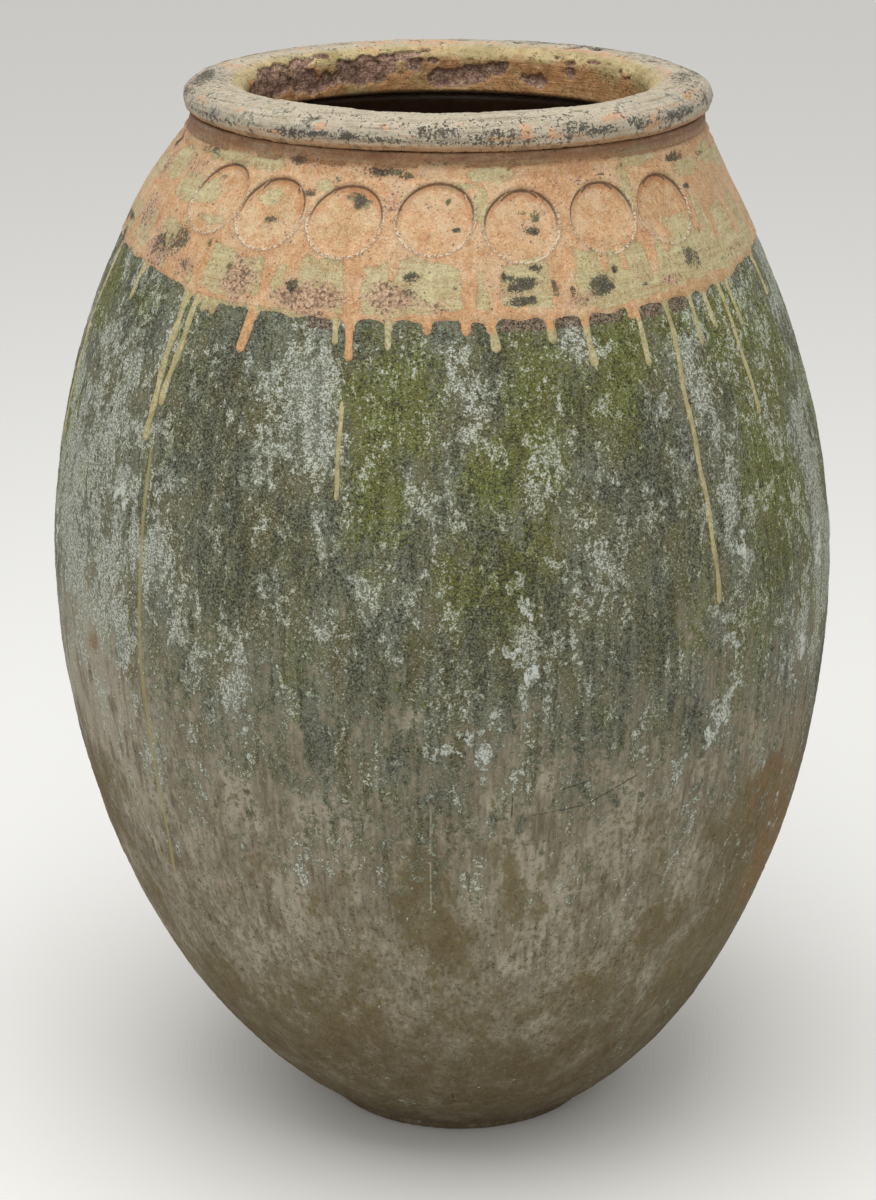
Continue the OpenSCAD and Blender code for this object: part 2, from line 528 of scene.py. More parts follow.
marked = kept_attribute(weather, marked, "chip", chips)
weathered = add_node(weather, "GeometryNodeSetPosition", {"Geometry": marked, "Position": lifted})
end_shape_tree(weather, weathered, weather_in["Material"])
print("Weathering tree:", len(weather.nodes), "nodes")

# %% [markdown]
# ## Places on the jar
# Every mark is given by two plain numbers: its angle round the jar, in degrees to the right of the
# front, and its height in millimetres. A mark is a soft dab, and a list of dabs makes one layer of
# paint. The front's dabs are listed one by one. The sides and back get dabs from a fixed seed, in
# the same sizes, so that no side is bare.

# %% Dabs of paint
HALF_TURN = 180
FRONT_HALF = 74


def angle_and_height(mesh):
    places = vertex_places(mesh) / MM
    angle = np.degrees(np.arctan2(places[:, 0], -places[:, 1]))
    return angle, places[:, 2]


def turn_between(angle, other):
    """The shortest turn from one angle to another, in degrees."""
    return (angle - other + HALF_TURN) % (2 * HALF_TURN) - HALF_TURN


def dabs(angle, height, marks):
    """Lays soft dabs of (angle, height, half width in degrees, half height, strength) over each other."""
    clear = np.ones_like(angle)
    for mark_angle, mark_height, wide, tall, strength in marks:
        across = turn_between(angle, mark_angle) / wide
        along = (height - mark_height) / tall
        clear *= 1 - strength * np.exp(-((across**2 + along**2) ** 1.5))
    return 1 - clear


def strewn(seed, count, heights, wide, tall, strength, angles=(FRONT_HALF, 360 - FRONT_HALF)):
    """Random dabs for the sides and back, the same on every run."""
    chance = random.Random(seed)
    return [
        (chance.uniform(*angles), chance.uniform(*heights), chance.uniform(*wide),
         chance.uniform(*tall), chance.uniform(*strength))
        for _ in range(count)
    ]


def wall_place(angle, height, grow=0.0):
    """The point of the outer wall at an angle and a height, in metres."""
    turn = math.radians(angle)
    radius = (float(outer_radius(height)) + grow) * MM
    return Vector((radius * math.sin(turn), -radius * math.cos(turn), height * MM))


def wall_out(angle, height):
    """The direction straight out of the wall."""
    turn = math.radians(angle)
    _, _, level, upward, *_ = wall_row(height)
    return Vector((level * math.sin(turn), -level * math.cos(turn), upward))


print("Belly at the front:", [round(part, 3) for part in wall_place(0, 495)])

# %% [markdown]
# ## The row of stamps
# Seven round stamps run across the front of the shoulder. Each one is a single point that stands
# for the middle of the die, with the direction in which the die was held. The stamps are not quite
# level or evenly spaced, because they were pressed by eye.

# %% Stamp points
STAMP_DEPTH = 2.7
STAMP_RADIUS = 29
stamp_marks = [(-48.3, 829), (-33.8, 825), (-18, 824.5), (-1, 828), (15.2, 822), (32, 823), (47.6, 822)]
stamp_mesh = bpy.data.meshes.new("stamp_points")
stamp_mesh.from_pydata([wall_place(*mark) for mark in stamp_marks], [], [])
DIE_TILT = 0.06
stamp_axes = [
    part for mark in stamp_marks for part in (wall_out(*mark) + Vector((0, 0, DIE_TILT))).normalized()
]
stamp_mesh.attributes.new("out", "FLOAT_VECTOR", "POINT").data.foreach_set("vector", stamp_axes)
stamps = new_object("stamp_points", stamp_mesh)
print("Stamps:", len(stamp_marks))

# %% [markdown]
# ## Paint on the raw clay
# The raw clay carries several covers, each with its own dabs: pale lichen, dark grime, green moss,
# crisp grey crusts, brown earth, rusty stain and pale worn clay. A base value by height says how
# far each cover reaches: moss and lichen fill the upper belly and thin out below the middle, where
# the beige clay shows. Right under the band a few strips of clay were wiped bare.

# %% Covers of the belly
lichen_dabs = [
    (-62, 690, 9, 60, 0.55), (-72, 610, 8, 60, 0.5), (-52, 640, 7, 50, 0.35), (-20, 712, 5.5, 42, 0.95),
    (-17, 660, 4, 30, 0.6), (-44, 570, 5, 36, 0.6), (-52, 545, 5, 30, 0.5), (-60, 510, 9, 40, 0.5),
    (-29, 480, 3, 34, 0.6), (-36, 515, 4, 20, 0.4), (-8, 690, 3, 30, 0.3), (3, 705, 3, 36, 0.45),
    (21.5, 732, 3.5, 16, 0.6), (16, 640, 4, 40, 0.3), (22, 560, 4, 50, 0.3), (40, 720, 4, 40, 0.55),
    (37, 640, 3, 40, 0.4), (45, 600, 3, 60, 0.5), (43, 690, 2.5, 26, 0.5), (72, 575, 4, 70, 0.85),
    (63, 470, 4, 40, 0.5), (70, 440, 4, 30, 0.5), (-47, 735, 3, 26, 0.6), (-38, 690, 3, 20, 0.35),
    (-10, 560, 3, 22, 0.35), (-22, 545, 4, 20, 0.35), (52, 655, 4, 14, 0.4), (12, 500, 3, 60, 0.45),
    (-3, 640, 2, 30, 0.3), (28, 620, 3, 20, 0.3), (60, 640, 4, 16, 0.35), (-68, 540, 6, 30, 0.4),
] + strewn(11, 60, (440, 750), (2, 8), (12, 60), (0.3, 0.9))
dark_dabs = [
    (-36, 690, 6, 46, 0.55), (-31, 620, 5, 60, 0.5), (-42, 640, 3.5, 26, 0.5), (-28, 560, 6, 40, 0.45),
    (-33, 718, 1.6, 22, 0.7), (-58, 735, 6, 26, 0.45), (-66, 655, 5, 24, 0.3), (6, 575, 7, 34, 0.55),
    (3, 500, 6, 44, 0.55), (12, 540, 5, 50, 0.5), (32, 640, 6, 60, 0.45), (27, 520, 6, 50, 0.4),
    (9, 690, 2.5, 40, 0.4), (8, 736, 3, 18, 0.5), (22, 690, 3, 24, 0.4), (-9, 500, 5, 40, 0.45),
    (-20, 600, 5, 26, 0.4), (-12, 740, 4, 14, 0.4), (56, 560, 6, 60, 0.35), (48, 700, 3, 30, 0.35),
    (-46, 590, 2, 22, 0.6), (-16, 430, 5, 22, 0.5), (-2, 430, 6, 22, 0.45), (-26, 410, 4, 14, 0.4),
    (-45, 375, 9, 34, 0.5), (-9, 372, 11, 34, 0.55), (-28, 362, 6, 24, 0.4), (-46, 318, 9, 34, 0.5),
    (-44, 255, 10, 44, 0.4), (-4, 318, 8, 30, 0.4), (-62, 160, 12, 40, 0.4), (30, 170, 8, 26, 0.35),
    (18, 440, 6, 24, 0.4), (-40, 460, 4, 20, 0.35), (34, 440, 5, 26, 0.35), (-8, 350, 3, 26, 0.3),
    (-33, 330, 4, 20, 0.3), (20, 385, 6, 9, 0.4), (-22, 230, 6, 16, 0.25), (2, 390, 3, 40, 0.35),
] + strewn(12, 60, (400, 750), (2, 8), (14, 60), (0.25, 0.6))
green_dabs = [
    (-73, 735, 6, 40, 0.95), (-74, 630, 4, 44, 0.6), (-57, 745, 6, 18, 0.5), (-9, 690, 6, 70, 0.75),
    (-8, 620, 5, 34, 0.5), (15, 700, 6, 60, 0.75), (8, 650, 5, 40, 0.5), (30, 730, 6, 30, 0.95),
    (27, 680, 5, 40, 0.6), (54, 715, 8, 50, 0.85), (55, 620, 9, 80, 0.8), (66, 700, 7, 60, 0.7),
    (50, 510, 6, 50, 0.5), (63, 560, 5, 70, 0.7), (4, 560, 8, 40, 0.45), (36, 560, 6, 60, 0.4),
    (-30, 740, 5, 14, 0.3), (12, 590, 6, 50, 0.4), (-2, 700, 3, 50, 0.5), (44, 460, 4, 50, 0.3),
    (-20, 500, 6, 30, 0.3), (70, 470, 5, 40, 0.5), (-64, 600, 5, 20, 0.35), (40, 745, 6, 12, 0.5),
] + strewn(13, 44, (480, 760), (4, 10), (20, 80), (0.4, 0.95))
crust_dabs = [
    (9.5, 570, 1.6, 12, 0.8), (11, 545, 1.5, 13, 0.85), (9, 520, 1.3, 12, 0.7), (12, 495, 1.4, 14, 0.85),
    (10.5, 470, 1.6, 10, 0.7), (3, 452, 2.2, 10, 0.85), (5, 430, 1.5, 20, 0.85), (0, 440, 1.6, 10, 0.7),
    (4.5, 408, 1.2, 8, 0.6), (43, 490, 2.2, 14, 0.7), (42, 440, 2.6, 18, 0.9), (39.5, 418, 1.6, 12, 0.7),
    (45, 455, 1.5, 10, 0.6), (-28, 500, 1.4, 14, 0.5), (-27, 470, 1.2, 12, 0.5), (11.3, 611, 0.8, 4, 0.8),
    (63, 460, 1.6, 14, 0.8), (65, 515, 1.4, 14, 0.5), (70, 535, 2.2, 30, 0.7), (61, 425, 2, 14, 0.5),
    (25, 640, 1.5, 10, 0.45), (38, 655, 1.4, 10, 0.5), (-52, 600, 2.2, 16, 0.5), (0, 512, 1.2, 16, 0.5),
    (-63, 680, 2.5, 14, 0.45), (16, 470, 1.5, 16, 0.5), (46, 570, 1.4, 30, 0.5), (-45, 690, 1.5, 14, 0.5),
] + strewn(14, 40, (400, 720), (1, 3), (6, 26), (0.5, 0.9))
brown_dabs = [
    (55, 300, 8, 70, 0.9), (60, 230, 9, 60, 0.95), (48, 330, 5, 30, 0.5), (50, 200, 8, 50, 0.7),
    (-4, 310, 4, 60, 0.55), (0, 250, 4, 40, 0.5), (-70, 330, 8, 60, 0.5), (-60, 230, 8, 40, 0.3),
    (-22, 170, 7, 30, 0.45), (-14, 240, 3, 30, 0.35), (28, 200, 6, 30, 0.4), (-46, 180, 6, 30, 0.35),
    (10, 300, 3, 40, 0.3), (70, 330, 6, 60, 0.7), (44, 480, 2.5, 14, 0.6), (-49, 461, 2.2, 7, 0.9),
    (38, 250, 6, 40, 0.35), (66, 140, 12, 50, 0.8), (-30, 130, 8, 24, 0.3), (-59, 470, 2, 10, 0.5),
] + strewn(15, 30, (120, 400), (4, 10), (20, 70), (0.4, 0.9))
rust_dabs = [
    (-49, 461, 2.4, 7, 0.9), (-59, 472, 2, 11, 0.7), (44, 478, 3, 16, 0.5), (62, 380, 7, 40, 0.4),
    (52, 350, 5, 40, 0.4), (66, 290, 11, 90, 0.72),
] + strewn(17, 12, (140, 480), (3, 9), (14, 60), (0.3, 0.6), (96, 280))
pale_dabs = [
    (-18, 372, 6, 24, 0.8), (-60, 430, 10, 80, 0.7), (-46, 380, 5, 60, 0.6), (-68, 480, 7, 50, 0.6),
    (12, 350, 5, 40, 0.5), (26, 340, 6, 40, 0.6), (18, 290, 9, 40, 0.4), (36, 380, 5, 24, 0.5),
    (-30, 370, 4, 24, 0.5), (-24, 280, 5, 40, 0.4), (-34, 240, 6, 30, 0.3), (16, 240, 6, 24, 0.4),
    (-52, 320, 6, 40, 0.4), (6, 380, 3, 14, 0.5), (-36, 410, 4, 20, 0.4), (30, 262, 6, 16, 0.3),
] + strewn(16, 40, (200, 460), (3, 9), (20, 60), (0.3, 0.8))
TRICKLE_ANGLES = [-46.3, -46.5, -46, -46.3, -47, -48.5]
TRICKLE_HEIGHTS = [650, 472, 423, 351, 310, 270]
BARE_STRIPS = [
    (-19, 2.2), (13.5, 3.3), (21.4, 2.2), (28, 2.8), (37.2, 2), (43, 1.8), (118, 3), (196, 4), (243, 3),
]
BARE_BOTTOM = 749.5
clay_covers = (lichen_dabs, dark_dabs, green_dabs, crust_dabs, brown_dabs, rust_dabs, pale_dabs)
print("Dabs:", sum(len(cover) for cover in clay_covers))

# %% [markdown]
# ## Laying the covers
# The painter turns the lists into layers. It starts each layer from a base that fades with height,
# adds the dabs, and stores the sum. A smooth fade is the brush for everything that has no edge.

# %% Paint the raw clay


def fade(height, start, end):
    """0 at start, 1 at end, smooth between; start may be above end."""
    part = np.clip((height - start) / (end - start), 0, 1)
    return part * part * (3 - 2 * part)


def paint_raw_clay(mesh):
    """Stores the covers of the raw clay on every vertex."""
    angle, height = angle_and_height(mesh)
    upper = fade(height, 210, 620)
    left = fade(-turn_between(angle, 0), 25, 60) * fade(height, 710, 600)
    right = fade(turn_between(angle, 0), 30, 66) * fade(height, 400, 520)
    dark = dabs(angle, height, dark_dabs)
    light = 0.2 + 0.12 * upper + 0.16 * left + 0.12 * right - 0.14 * fade(height, 300, 200)
    write_floats(mesh, "lichen", light + 0.45 * dabs(angle, height, lichen_dabs))
    write_floats(mesh, "dark", 0.26 + 0.14 * upper - 0.2 * left - 0.16 * right + 0.4 * dark)
    write_floats(mesh, "moss", 0.1 + 0.86 * upper - 0.25 * left * fade(height, 560, 420) + 0.36 * dark)
    write_floats(mesh, "green", 0.12 * upper + 0.85 * dabs(angle, height, green_dabs))
    write_floats(mesh, "crust", 0.8 * dabs(angle, height, crust_dabs))
    # The base browns a middle zone and again the foot, where the browning is partly painted shade.
    brown_and_foot_shade = 0.3 * fade(height, 480, 340) + 0.25 * fade(height, 240, 120)
    write_floats(mesh, "brown", brown_and_foot_shade + 0.8 * dabs(angle, height, brown_dabs))
    write_floats(mesh, "rust", dabs(angle, height, rust_dabs))
    # Painted shade with some grime: the clay darkens towards the foot.
    write_floats(mesh, "foot_shade_and_grime", fade(height, 215, 95))
    write_floats(mesh, "pale", 0.2 + 0.8 * dabs(angle, height, pale_dabs))
    line = np.interp(-height, [-step for step in TRICKLE_HEIGHTS], TRICKLE_ANGLES)
    thread = fade(-abs(turn_between(angle, line)), -0.45, -0.15) * fade(-abs(height - 460), -200, -170)
    write_floats(mesh, "trickle", thread)
    bare = np.zeros_like(angle)
    for strip_angle, half in BARE_STRIPS:
        bare = np.maximum(bare, fade(-abs(turn_between(angle, strip_angle)), -half - 0.5, -half))
    write_floats(mesh, "bare", bare * fade(height, BARE_BOTTOM - 1.5, BARE_BOTTOM + 1.5))
    write_floats(mesh, "spall", np.zeros_like(angle))
    write_floats(mesh, "dent", np.zeros_like(angle))


print("A fade from 210 to 620 mm, at the belly:", round(float(fade(495, 210, 620)), 2))

# %% [markdown]
# ## Covers that grow
# Every finish is made by laying one colour over another. Each cover has a painted amount, and a
# noise decides where the cover lies: where amount and noise together pass one, the cover shows.
# More paint makes the patches grow and join, as real lichen does.

# %% Paint helpers


def linear(red, green, blue):
    """A colour as it looks, changed to the linear numbers that shaders use."""
    parts = [c / 12.92 if c < 0.04 else ((c + 0.055) / 1.055) ** 2.4 for c in (red, green, blue)]
    return (*parts, 1)


def new_finish(name):
    """A material with its shader node, and the object coordinates as a flow."""
    material = bpy.data.materials.new(name)
    material.use_nodes = True
    tree = material.node_tree
    shader = tree.nodes["Principled BSDF"]
    coordinates = add_node(tree, "ShaderNodeTexCoord", output="Object")
    return material, tree, shader, coordinates


def painted(tree, name):
    """A layer of dabs, read from the mesh."""
    return add_node(tree, "ShaderNodeAttribute", output="Fac", attribute_name=name)


def blend(factor, under, over):
    """Lays one colour over another."""
    tree = factor.tree
    node = tree.nodes.new("ShaderNodeMix")
    node.data_type = "RGBA"
    plug(tree, node.inputs[0], factor)
    plug(tree, node.inputs[6], under)
    plug(tree, node.inputs[7], over)
    return Flow(tree, node.outputs[2])


def shades(pattern, dark, light):
    """A colour that goes from dark to light as the pattern does."""
    return blend(pattern, linear(*dark), linear(*light))


def spread(amount, pattern, softness=0.16):
    """Where a cover shows: where its amount and a pattern together pass one."""
    return (amount + pattern - 1.0).ramp(-softness / 2, softness / 2)


def finish(tree, shader, colour, roughness, relief, depth):
    """Feeds the shader: colour, roughness, and a bump for relief finer than the mesh."""
    plug(tree, shader.inputs["Base Color"], colour)
    plug(tree, shader.inputs["Roughness"], roughness)
    bump = tree.nodes.new("ShaderNodeBump")
    bump.inputs["Distance"].default_value = depth * MM
    plug(tree, bump.inputs["Height"], relief)
    tree.links.new(bump.outputs[0], shader.inputs["Normal"])


print("Middle grey in linear numbers:", linear(0.5, 0.5, 0.5))

# %% [markdown]
# ## Scratches and level lines
# A jar that has been moved about has a few thin scratches. They are finer than the mesh, so the
# shader draws each one as a straight line between two places on the front, and a noise breaks it
# up. The hands that wiped the rim and neck on the turning wheel left thin level lines. A noise
# that is read from the radius and the height alone runs round the pot in the same way.

# %% Scratches and level lines


def level_lines(spot, size):
    """Noise in thin level lines round the pot, as a wiping hand leaves them."""
    radius = spot.vector("MULTIPLY", (1, 1, 0)).vector("LENGTH", output=1)
    height = spot.vector("DOT_PRODUCT", (0, 0, 1), output=1)
    level = add_node(spot.tree, "ShaderNodeCombineXYZ", {"X": radius, "Z": height})
    return level.vector("ADD", spot.scaled(0.06)).noise(size, 3, 0.6)


def scratch(spot, start, end, width):
    """A thin straight scratch on the front, between two (x, z) places in millimetres."""
    across = end[0] - start[0]
    upward = end[1] - start[1]
    length = math.hypot(across, upward)
    across /= length
    upward /= length
    along = spot.vector("DOT_PRODUCT", (across / MM, 0, upward / MM), output=1)
    along = along - (start[0] * across + start[1] * upward)
    aside = spot.vector("DOT_PRODUCT", (upward / MM, 0, -across / MM), output=1)
    aside = aside - (start[0] * upward - start[1] * across)
    front = spot.vector("DOT_PRODUCT", (0, -1, 0), output=1).ramp(0.0, 0.05)
    line = aside.math("ABSOLUTE").ramp(width, width * 0.3)
    return line * along.ramp(0, 5) * along.ramp(length, length - 5) * front


PALE_SCRATCHES = [
    ((-8, 392), (-8.5, 346), 1.1), ((-8.5, 344), (-8, 292), 1.0), ((92, 300), (128, 306), 0.8),
]
DARK_SCRATCHES = [
    ((55, 400), (54, 372), 0.9), ((68, 378), (112, 382), 0.8), ((112, 382), (154, 402), 0.7),
    ((9, 78), (11, 66), 1.5), ((11, 67), (8, 53), 1.2), ((92, 398), (118, 404), 0.8),
]
print("Scratches:", len(PALE_SCRATCHES) + len(DARK_SCRATCHES))

# %% [markdown]
# ## The finish of raw, weathered clay
# The clay and its cover are both mottled at many sizes at once, down to grains of a millimetre.
# The order of the layers matters: the clay with its earth and rust stains and the painted shade
# with grime towards the foot comes first, then the cover with its moss, grime, lichen and crusts,
# and the wiped strips and scratches come last.

# %% Weathered clay
clay_finish, tree, shader, spot = new_finish("weathered_clay")
broad = spot.noise(60, 3, 0.6)
cloud = spot.vector("ADD", (3, 1, 2)).noise(34, 4, 0.65, stretch=(1, 1, 0.6))
patch = spot.noise(20, 6, 0.72, stretch=(1, 1, 0.55), distortion=0.5)
other_patch = spot.vector("ADD", (1, 2, 5)).noise(24, 5, 0.7, stretch=(1, 1, 0.45))
blot = spot.noise(6, 3, 0.65)
grain = spot.noise(2.4, 2, 0.65)
dust = spot.noise(1.3, 1)
streak = spot.noise(8, 4, 0.6, stretch=(1, 1, 0.1))
comb = spot.noise(3.4, 2, 0.6, stretch=(1, 1, 0.04))
speckle = (grain * 0.5 + dust * 0.5).sharpen(1.5)

tone = (streak * 0.35 + cloud * 0.3 + comb * 0.35).sharpen(2.2)
clay = shades(tone, (0.42, 0.38, 0.31), (0.60, 0.57, 0.49))
pale = spread(painted(tree, "pale"), (cloud * 0.5 + streak * 0.5).sharpen(1.8), 0.4)
clay = blend(pale * 0.65, clay, linear(0.65, 0.62, 0.55))
# The earth layer also browns the foot, partly as painted shade.
earth_and_foot_shade = spread(painted(tree, "brown"), (other_patch * 0.5 + streak * 0.25 + blot * 0.25).sharpen(1.9), 0.5)
clay = blend(earth_and_foot_shade * 0.8, clay, shades(blot, (0.31, 0.27, 0.16), (0.46, 0.40, 0.26)))
rust = spread(painted(tree, "rust"), (other_patch * 0.5 + blot * 0.3 + streak * 0.2).sharpen(1.6), 0.6)
clay = blend(rust * 0.6, clay, shades(blot, (0.42, 0.29, 0.14), (0.60, 0.45, 0.27)))
# Painted shade with some grime darkens the clay towards the foot.
foot_shade_and_grime = (painted(tree, "foot_shade_and_grime") + other_patch * 0.5 - 0.35).clamp()
clay = blend(foot_shade_and_grime * 0.7, clay, shades(blot, (0.25, 0.20, 0.12), (0.41, 0.35, 0.24)))
speck_pattern = (blot * 0.4 + grain * 0.4 + dust * 0.2).sharpen(1.6)
clay_specks = spread(painted(tree, "dark") * 0.4 + 0.15, speck_pattern, 0.15)
clay = blend(clay_specks * 0.7, clay, linear(0.25, 0.23, 0.17))

dots = (spot.noise(3, 2) * 0.7 + patch * 0.3).ramp(0.72, 0.8)
clay = blend(dots * 0.5, clay, linear(0.22, 0.20, 0.14))

hue = shades(other_patch.sharpen(1.8), (0.38, 0.37, 0.25), (0.44, 0.46, 0.40))
moss_hue = shades(other_patch.sharpen(1.6), (0.37, 0.37, 0.15), (0.43, 0.46, 0.22))
green = spread(painted(tree, "green"), (broad * 0.3 + cloud * 0.4 + blot * 0.3).sharpen(1.6), 0.7)
hue = blend(green, hue, moss_hue)
lichen = spread(painted(tree, "lichen"), (patch * 0.65 + blot * 0.35).sharpen(1.5), 0.14)
grime = spread(painted(tree, "dark"), (other_patch * 0.5 + streak * 0.5).sharpen(1.5), 0.4)
crust = (painted(tree, "raised") + (blot - 0.5) * 0.5).ramp(0.3, 0.6)
light = lichen * 0.34 + crust * 0.4 - grime * 0.22 + (speckle - 0.5) * 0.75 + 0.43
cover = blend(light.ramp(-0.05, 0.5), linear(0.17, 0.17, 0.13), hue)
cover = blend(light.ramp(0.45, 1.15), cover, linear(0.77, 0.79, 0.75))
reach = (patch * 0.35 + streak * 0.2 + blot * 0.25 + speckle * 0.2).sharpen(2.4)
covered = spread(painted(tree, "moss"), reach, 0.4).math("MAXIMUM", crust)
skin = blend(covered * 0.95, clay, cover)
bare = (painted(tree, "bare") + (blot - 0.5) * 0.7).ramp(0.35, 0.65)
skin = blend(bare * 0.8, skin, shades(speckle.sharpen(1.5), (0.20, 0.17, 0.14), (0.56, 0.47, 0.40)))
skin = blend(painted(tree, "trickle") * 0.8, skin, linear(0.62, 0.58, 0.40))
for start, end, width in PALE_SCRATCHES:
    line = scratch(spot, start, end, width) * blot.ramp(0.2, 0.6)
    skin = blend(line * 0.7, skin, linear(0.64, 0.61, 0.53))
for start, end, width in DARK_SCRATCHES:
    line = scratch(spot, start, end, width) * blot.ramp(0.1, 0.5)
    skin = blend(line * 0.8, skin, linear(0.18, 0.16, 0.12))
finish(tree, shader, skin, lichen * 0.06 + 0.88, blot * 0.5 + speckle + crust, 0.7)
shader.inputs["Specular IOR Level"].default_value = 0.25
print("Finish: weathered clay,", len(tree.nodes), "nodes")

# %% [markdown]
# ## Where the glaze ran
# Glaze that was laid on too thickly ran down over the belly in narrow trails. Each trail is a few
# places on the wall, a width, and a colour. The list comes before the band's paint, because the
# band's edge swells into a small tongue where each trail leaves it.

# %% Trail places
OLIVE_RUN = 0.0
MIXED_RUN = 0.5
ORANGE_RUN = 1.0
run_paths = [
    ([(-46.6, 768), (-47, 730), (-47.4, 700), (-48, 648)], 6.5, OLIVE_RUN),
    ([(-43.8, 768), (-44.4, 735), (-45.3, 705), (-46.2, 676)], 6, OLIVE_RUN),
    ([(-41.8, 766), (-42, 749)], 6, OLIVE_RUN),
    ([(-40, 766), (-40.2, 753)], 5, OLIVE_RUN),
    ([(-31.6, 768), (-32, 745), (-33, 726)], 8, ORANGE_RUN),
    ([(-16.6, 766), (-16.5, 739)], 4.5, OLIVE_RUN),
    ([(-14.3, 766), (-14.1, 745), (-14.1, 728)], 6, ORANGE_RUN),
    ([(-14.6, 700), (-14.5, 660), (-14.7, 628)], 3.6, OLIVE_RUN),
    ([(-8, 764), (-8, 737)], 4.5, OLIVE_RUN),
    ([(-1.9, 764), (-1.8, 750)], 5.5, ORANGE_RUN),
    ([(4.4, 764), (4.4, 747)], 6, ORANGE_RUN),
    ([(8.3, 764), (8.8, 735)], 6.5, MIXED_RUN),
    ([(18, 764), (18.2, 739)], 6, MIXED_RUN),
    ([(24, 764), (24.4, 720)], 5.4, MIXED_RUN),
    ([(32.5, 764), (32.5, 752)], 4, ORANGE_RUN),
    ([(33.7, 764), (34.2, 715)], 5, MIXED_RUN),
    ([(40.2, 766), (40.4, 740), (40, 724), (39.6, 690), (39.9, 641), (40.6, 588), (41.1, 528)],
     4.6, OLIVE_RUN),
    ([(46, 766), (46, 722)], 4.2, OLIVE_RUN),
    ([(50, 768), (50.4, 731)], 4.6, OLIVE_RUN),
    ([(54.8, 770), (55.3, 716), (56.2, 660)], 4.4, OLIVE_RUN),
    ([(57.7, 770), (58.2, 726)], 4, OLIVE_RUN),
    ([(72, 774), (72.5, 735)], 5, OLIVE_RUN),
    ([(-62, 780), (-62.5, 742)], 4.5, OLIVE_RUN),
    ([(-78, 782), (-79, 700), (-79.5, 610)], 5, OLIVE_RUN),
]
BACK_TRAIL_TOP = 770
chance = random.Random(41)
for _ in range(20):
    start_angle = chance.uniform(84, 272)
    drop = chance.choice((16, 24, 34, 60, 120, 210))
    sway = chance.uniform(-1.2, 1.2)
    middle = (start_angle + sway, BACK_TRAIL_TOP - drop * 0.6)
    end = (start_angle + sway * 0.6, BACK_TRAIL_TOP - drop)
    run_paths.append((
        [(start_angle, BACK_TRAIL_TOP + 10), middle, end],
        chance.uniform(4, 7), float(chance.random() < 0.3),
    ))
print("Trails:", len(run_paths))

# %% [markdown]
# ## Paint on the glaze
# The glaze was laid in two coats: an olive one first, and an orange slip over it. Where the slip
# missed or slid off, windows of olive are left between the orange runs, and some have worn down to
# pink clay with black specks. Each window is a rounded box with a place and a size. The distance
# to the nearest window's edge is stored, so the edge stays crisp however coarse the mesh is.

# %% Windows and stains of the band
MM_PER_DEGREE = 4.4
slip_flows = [
    (-45.7, -45.6, 802, 758, 2.4, 1.2), (-30.2, -30.4, 806, 758, 1.9, 1.0),
    (-25.4, -26.4, 806, 758, 1.5, 1.2),
    (-14.6, -14.3, 806, 752, 2.6, 1.2), (5.2, 4.9, 806, 756, 2.2, 1.0), (9.2, 9.2, 806, 760, 2.6, 0.8),
    (21.4, 21.0, 806, 758, 3.0, 2.2), (29.7, 29.6, 806, 784, 1.3, 0.7), (33.5, 33.6, 806, 785, 1.4, 0.6),
    (40.4, 40.1, 808, 778, 2.8, 0.7), (44.6, 44.6, 806, 791, 2.0, 0.6), (-51.5, -52, 812, 762, 3.4, 4.0),
    (-63, -63, 812, 764, 2.6, 1.8), (-7.6, -7.8, 806, 784, 1.2, 0.7), (61, 60.6, 816, 790, 1.6, 0.9),
    (-36.2, -36.3, 806, 792, 3.6, 2.2), (-21, -21.4, 804, 797, 2, 1.2), (13, 12.6, 800, 796, 3, 1.6),
    (70, 70, 818, 786, 2.4, 0.9), (-74, -74, 812, 764, 2.4, 1.6), (55, 55, 806, 799, 1.6, 0.8),
]
chance = random.Random(20)
flow_angle = 80.0
while flow_angle < 278:
    thick = chance.uniform(1.2, 3.2)
    tip = chance.choice((758, 758, 776, 786, 793))
    slip_flows.append((flow_angle, flow_angle + chance.uniform(-0.6, 0.6), 808, tip, thick, thick * 0.4))
    flow_angle += chance.uniform(4.5, 11)
UPPER_ANGLES = [
    -180, -150, -120, -90, -66, -56, -50, -43, -36, -28, -22, -11, -4, 2, 7, 15, 21, 27, 33, 37,
    44, 50, 56, 62, 70, 90, 120, 150, 180,
]
UPPER_HEIGHTS = [
    801, 805, 798, 803, 808, 806, 804, 799, 795, 792, 800, 794, 802, 796, 792, 798, 803, 801, 801, 803,
    800, 806, 828, 812, 818, 806, 800, 804, 801,
]
olive_patches = [
    (-58, 830, 6, 10), (60, 845, 5, 6), (-50, 857, 9, 5), (-39, 857, 4, 6), (9, 857, 5, 6), (44, 861, 5, 7),
    (38.6, 842, 1.6, 13), (7.2, 836, 1.3, 12), (-24, 846, 2, 4), (-52, 832, 3, 9), (49.5, 810, 3.2, 6),
    (-70, 842, 5, 12), (72, 848, 5, 8), (-47, 814, 3, 3), (3, 849, 4, 2), (-36, 836, 2.5, 6),
] + strewn(22, 16, (815, 862), (2, 7), (4, 11), (1, 1))
LIP_WINDOW = (-34, 757.5, 12, 3.5)
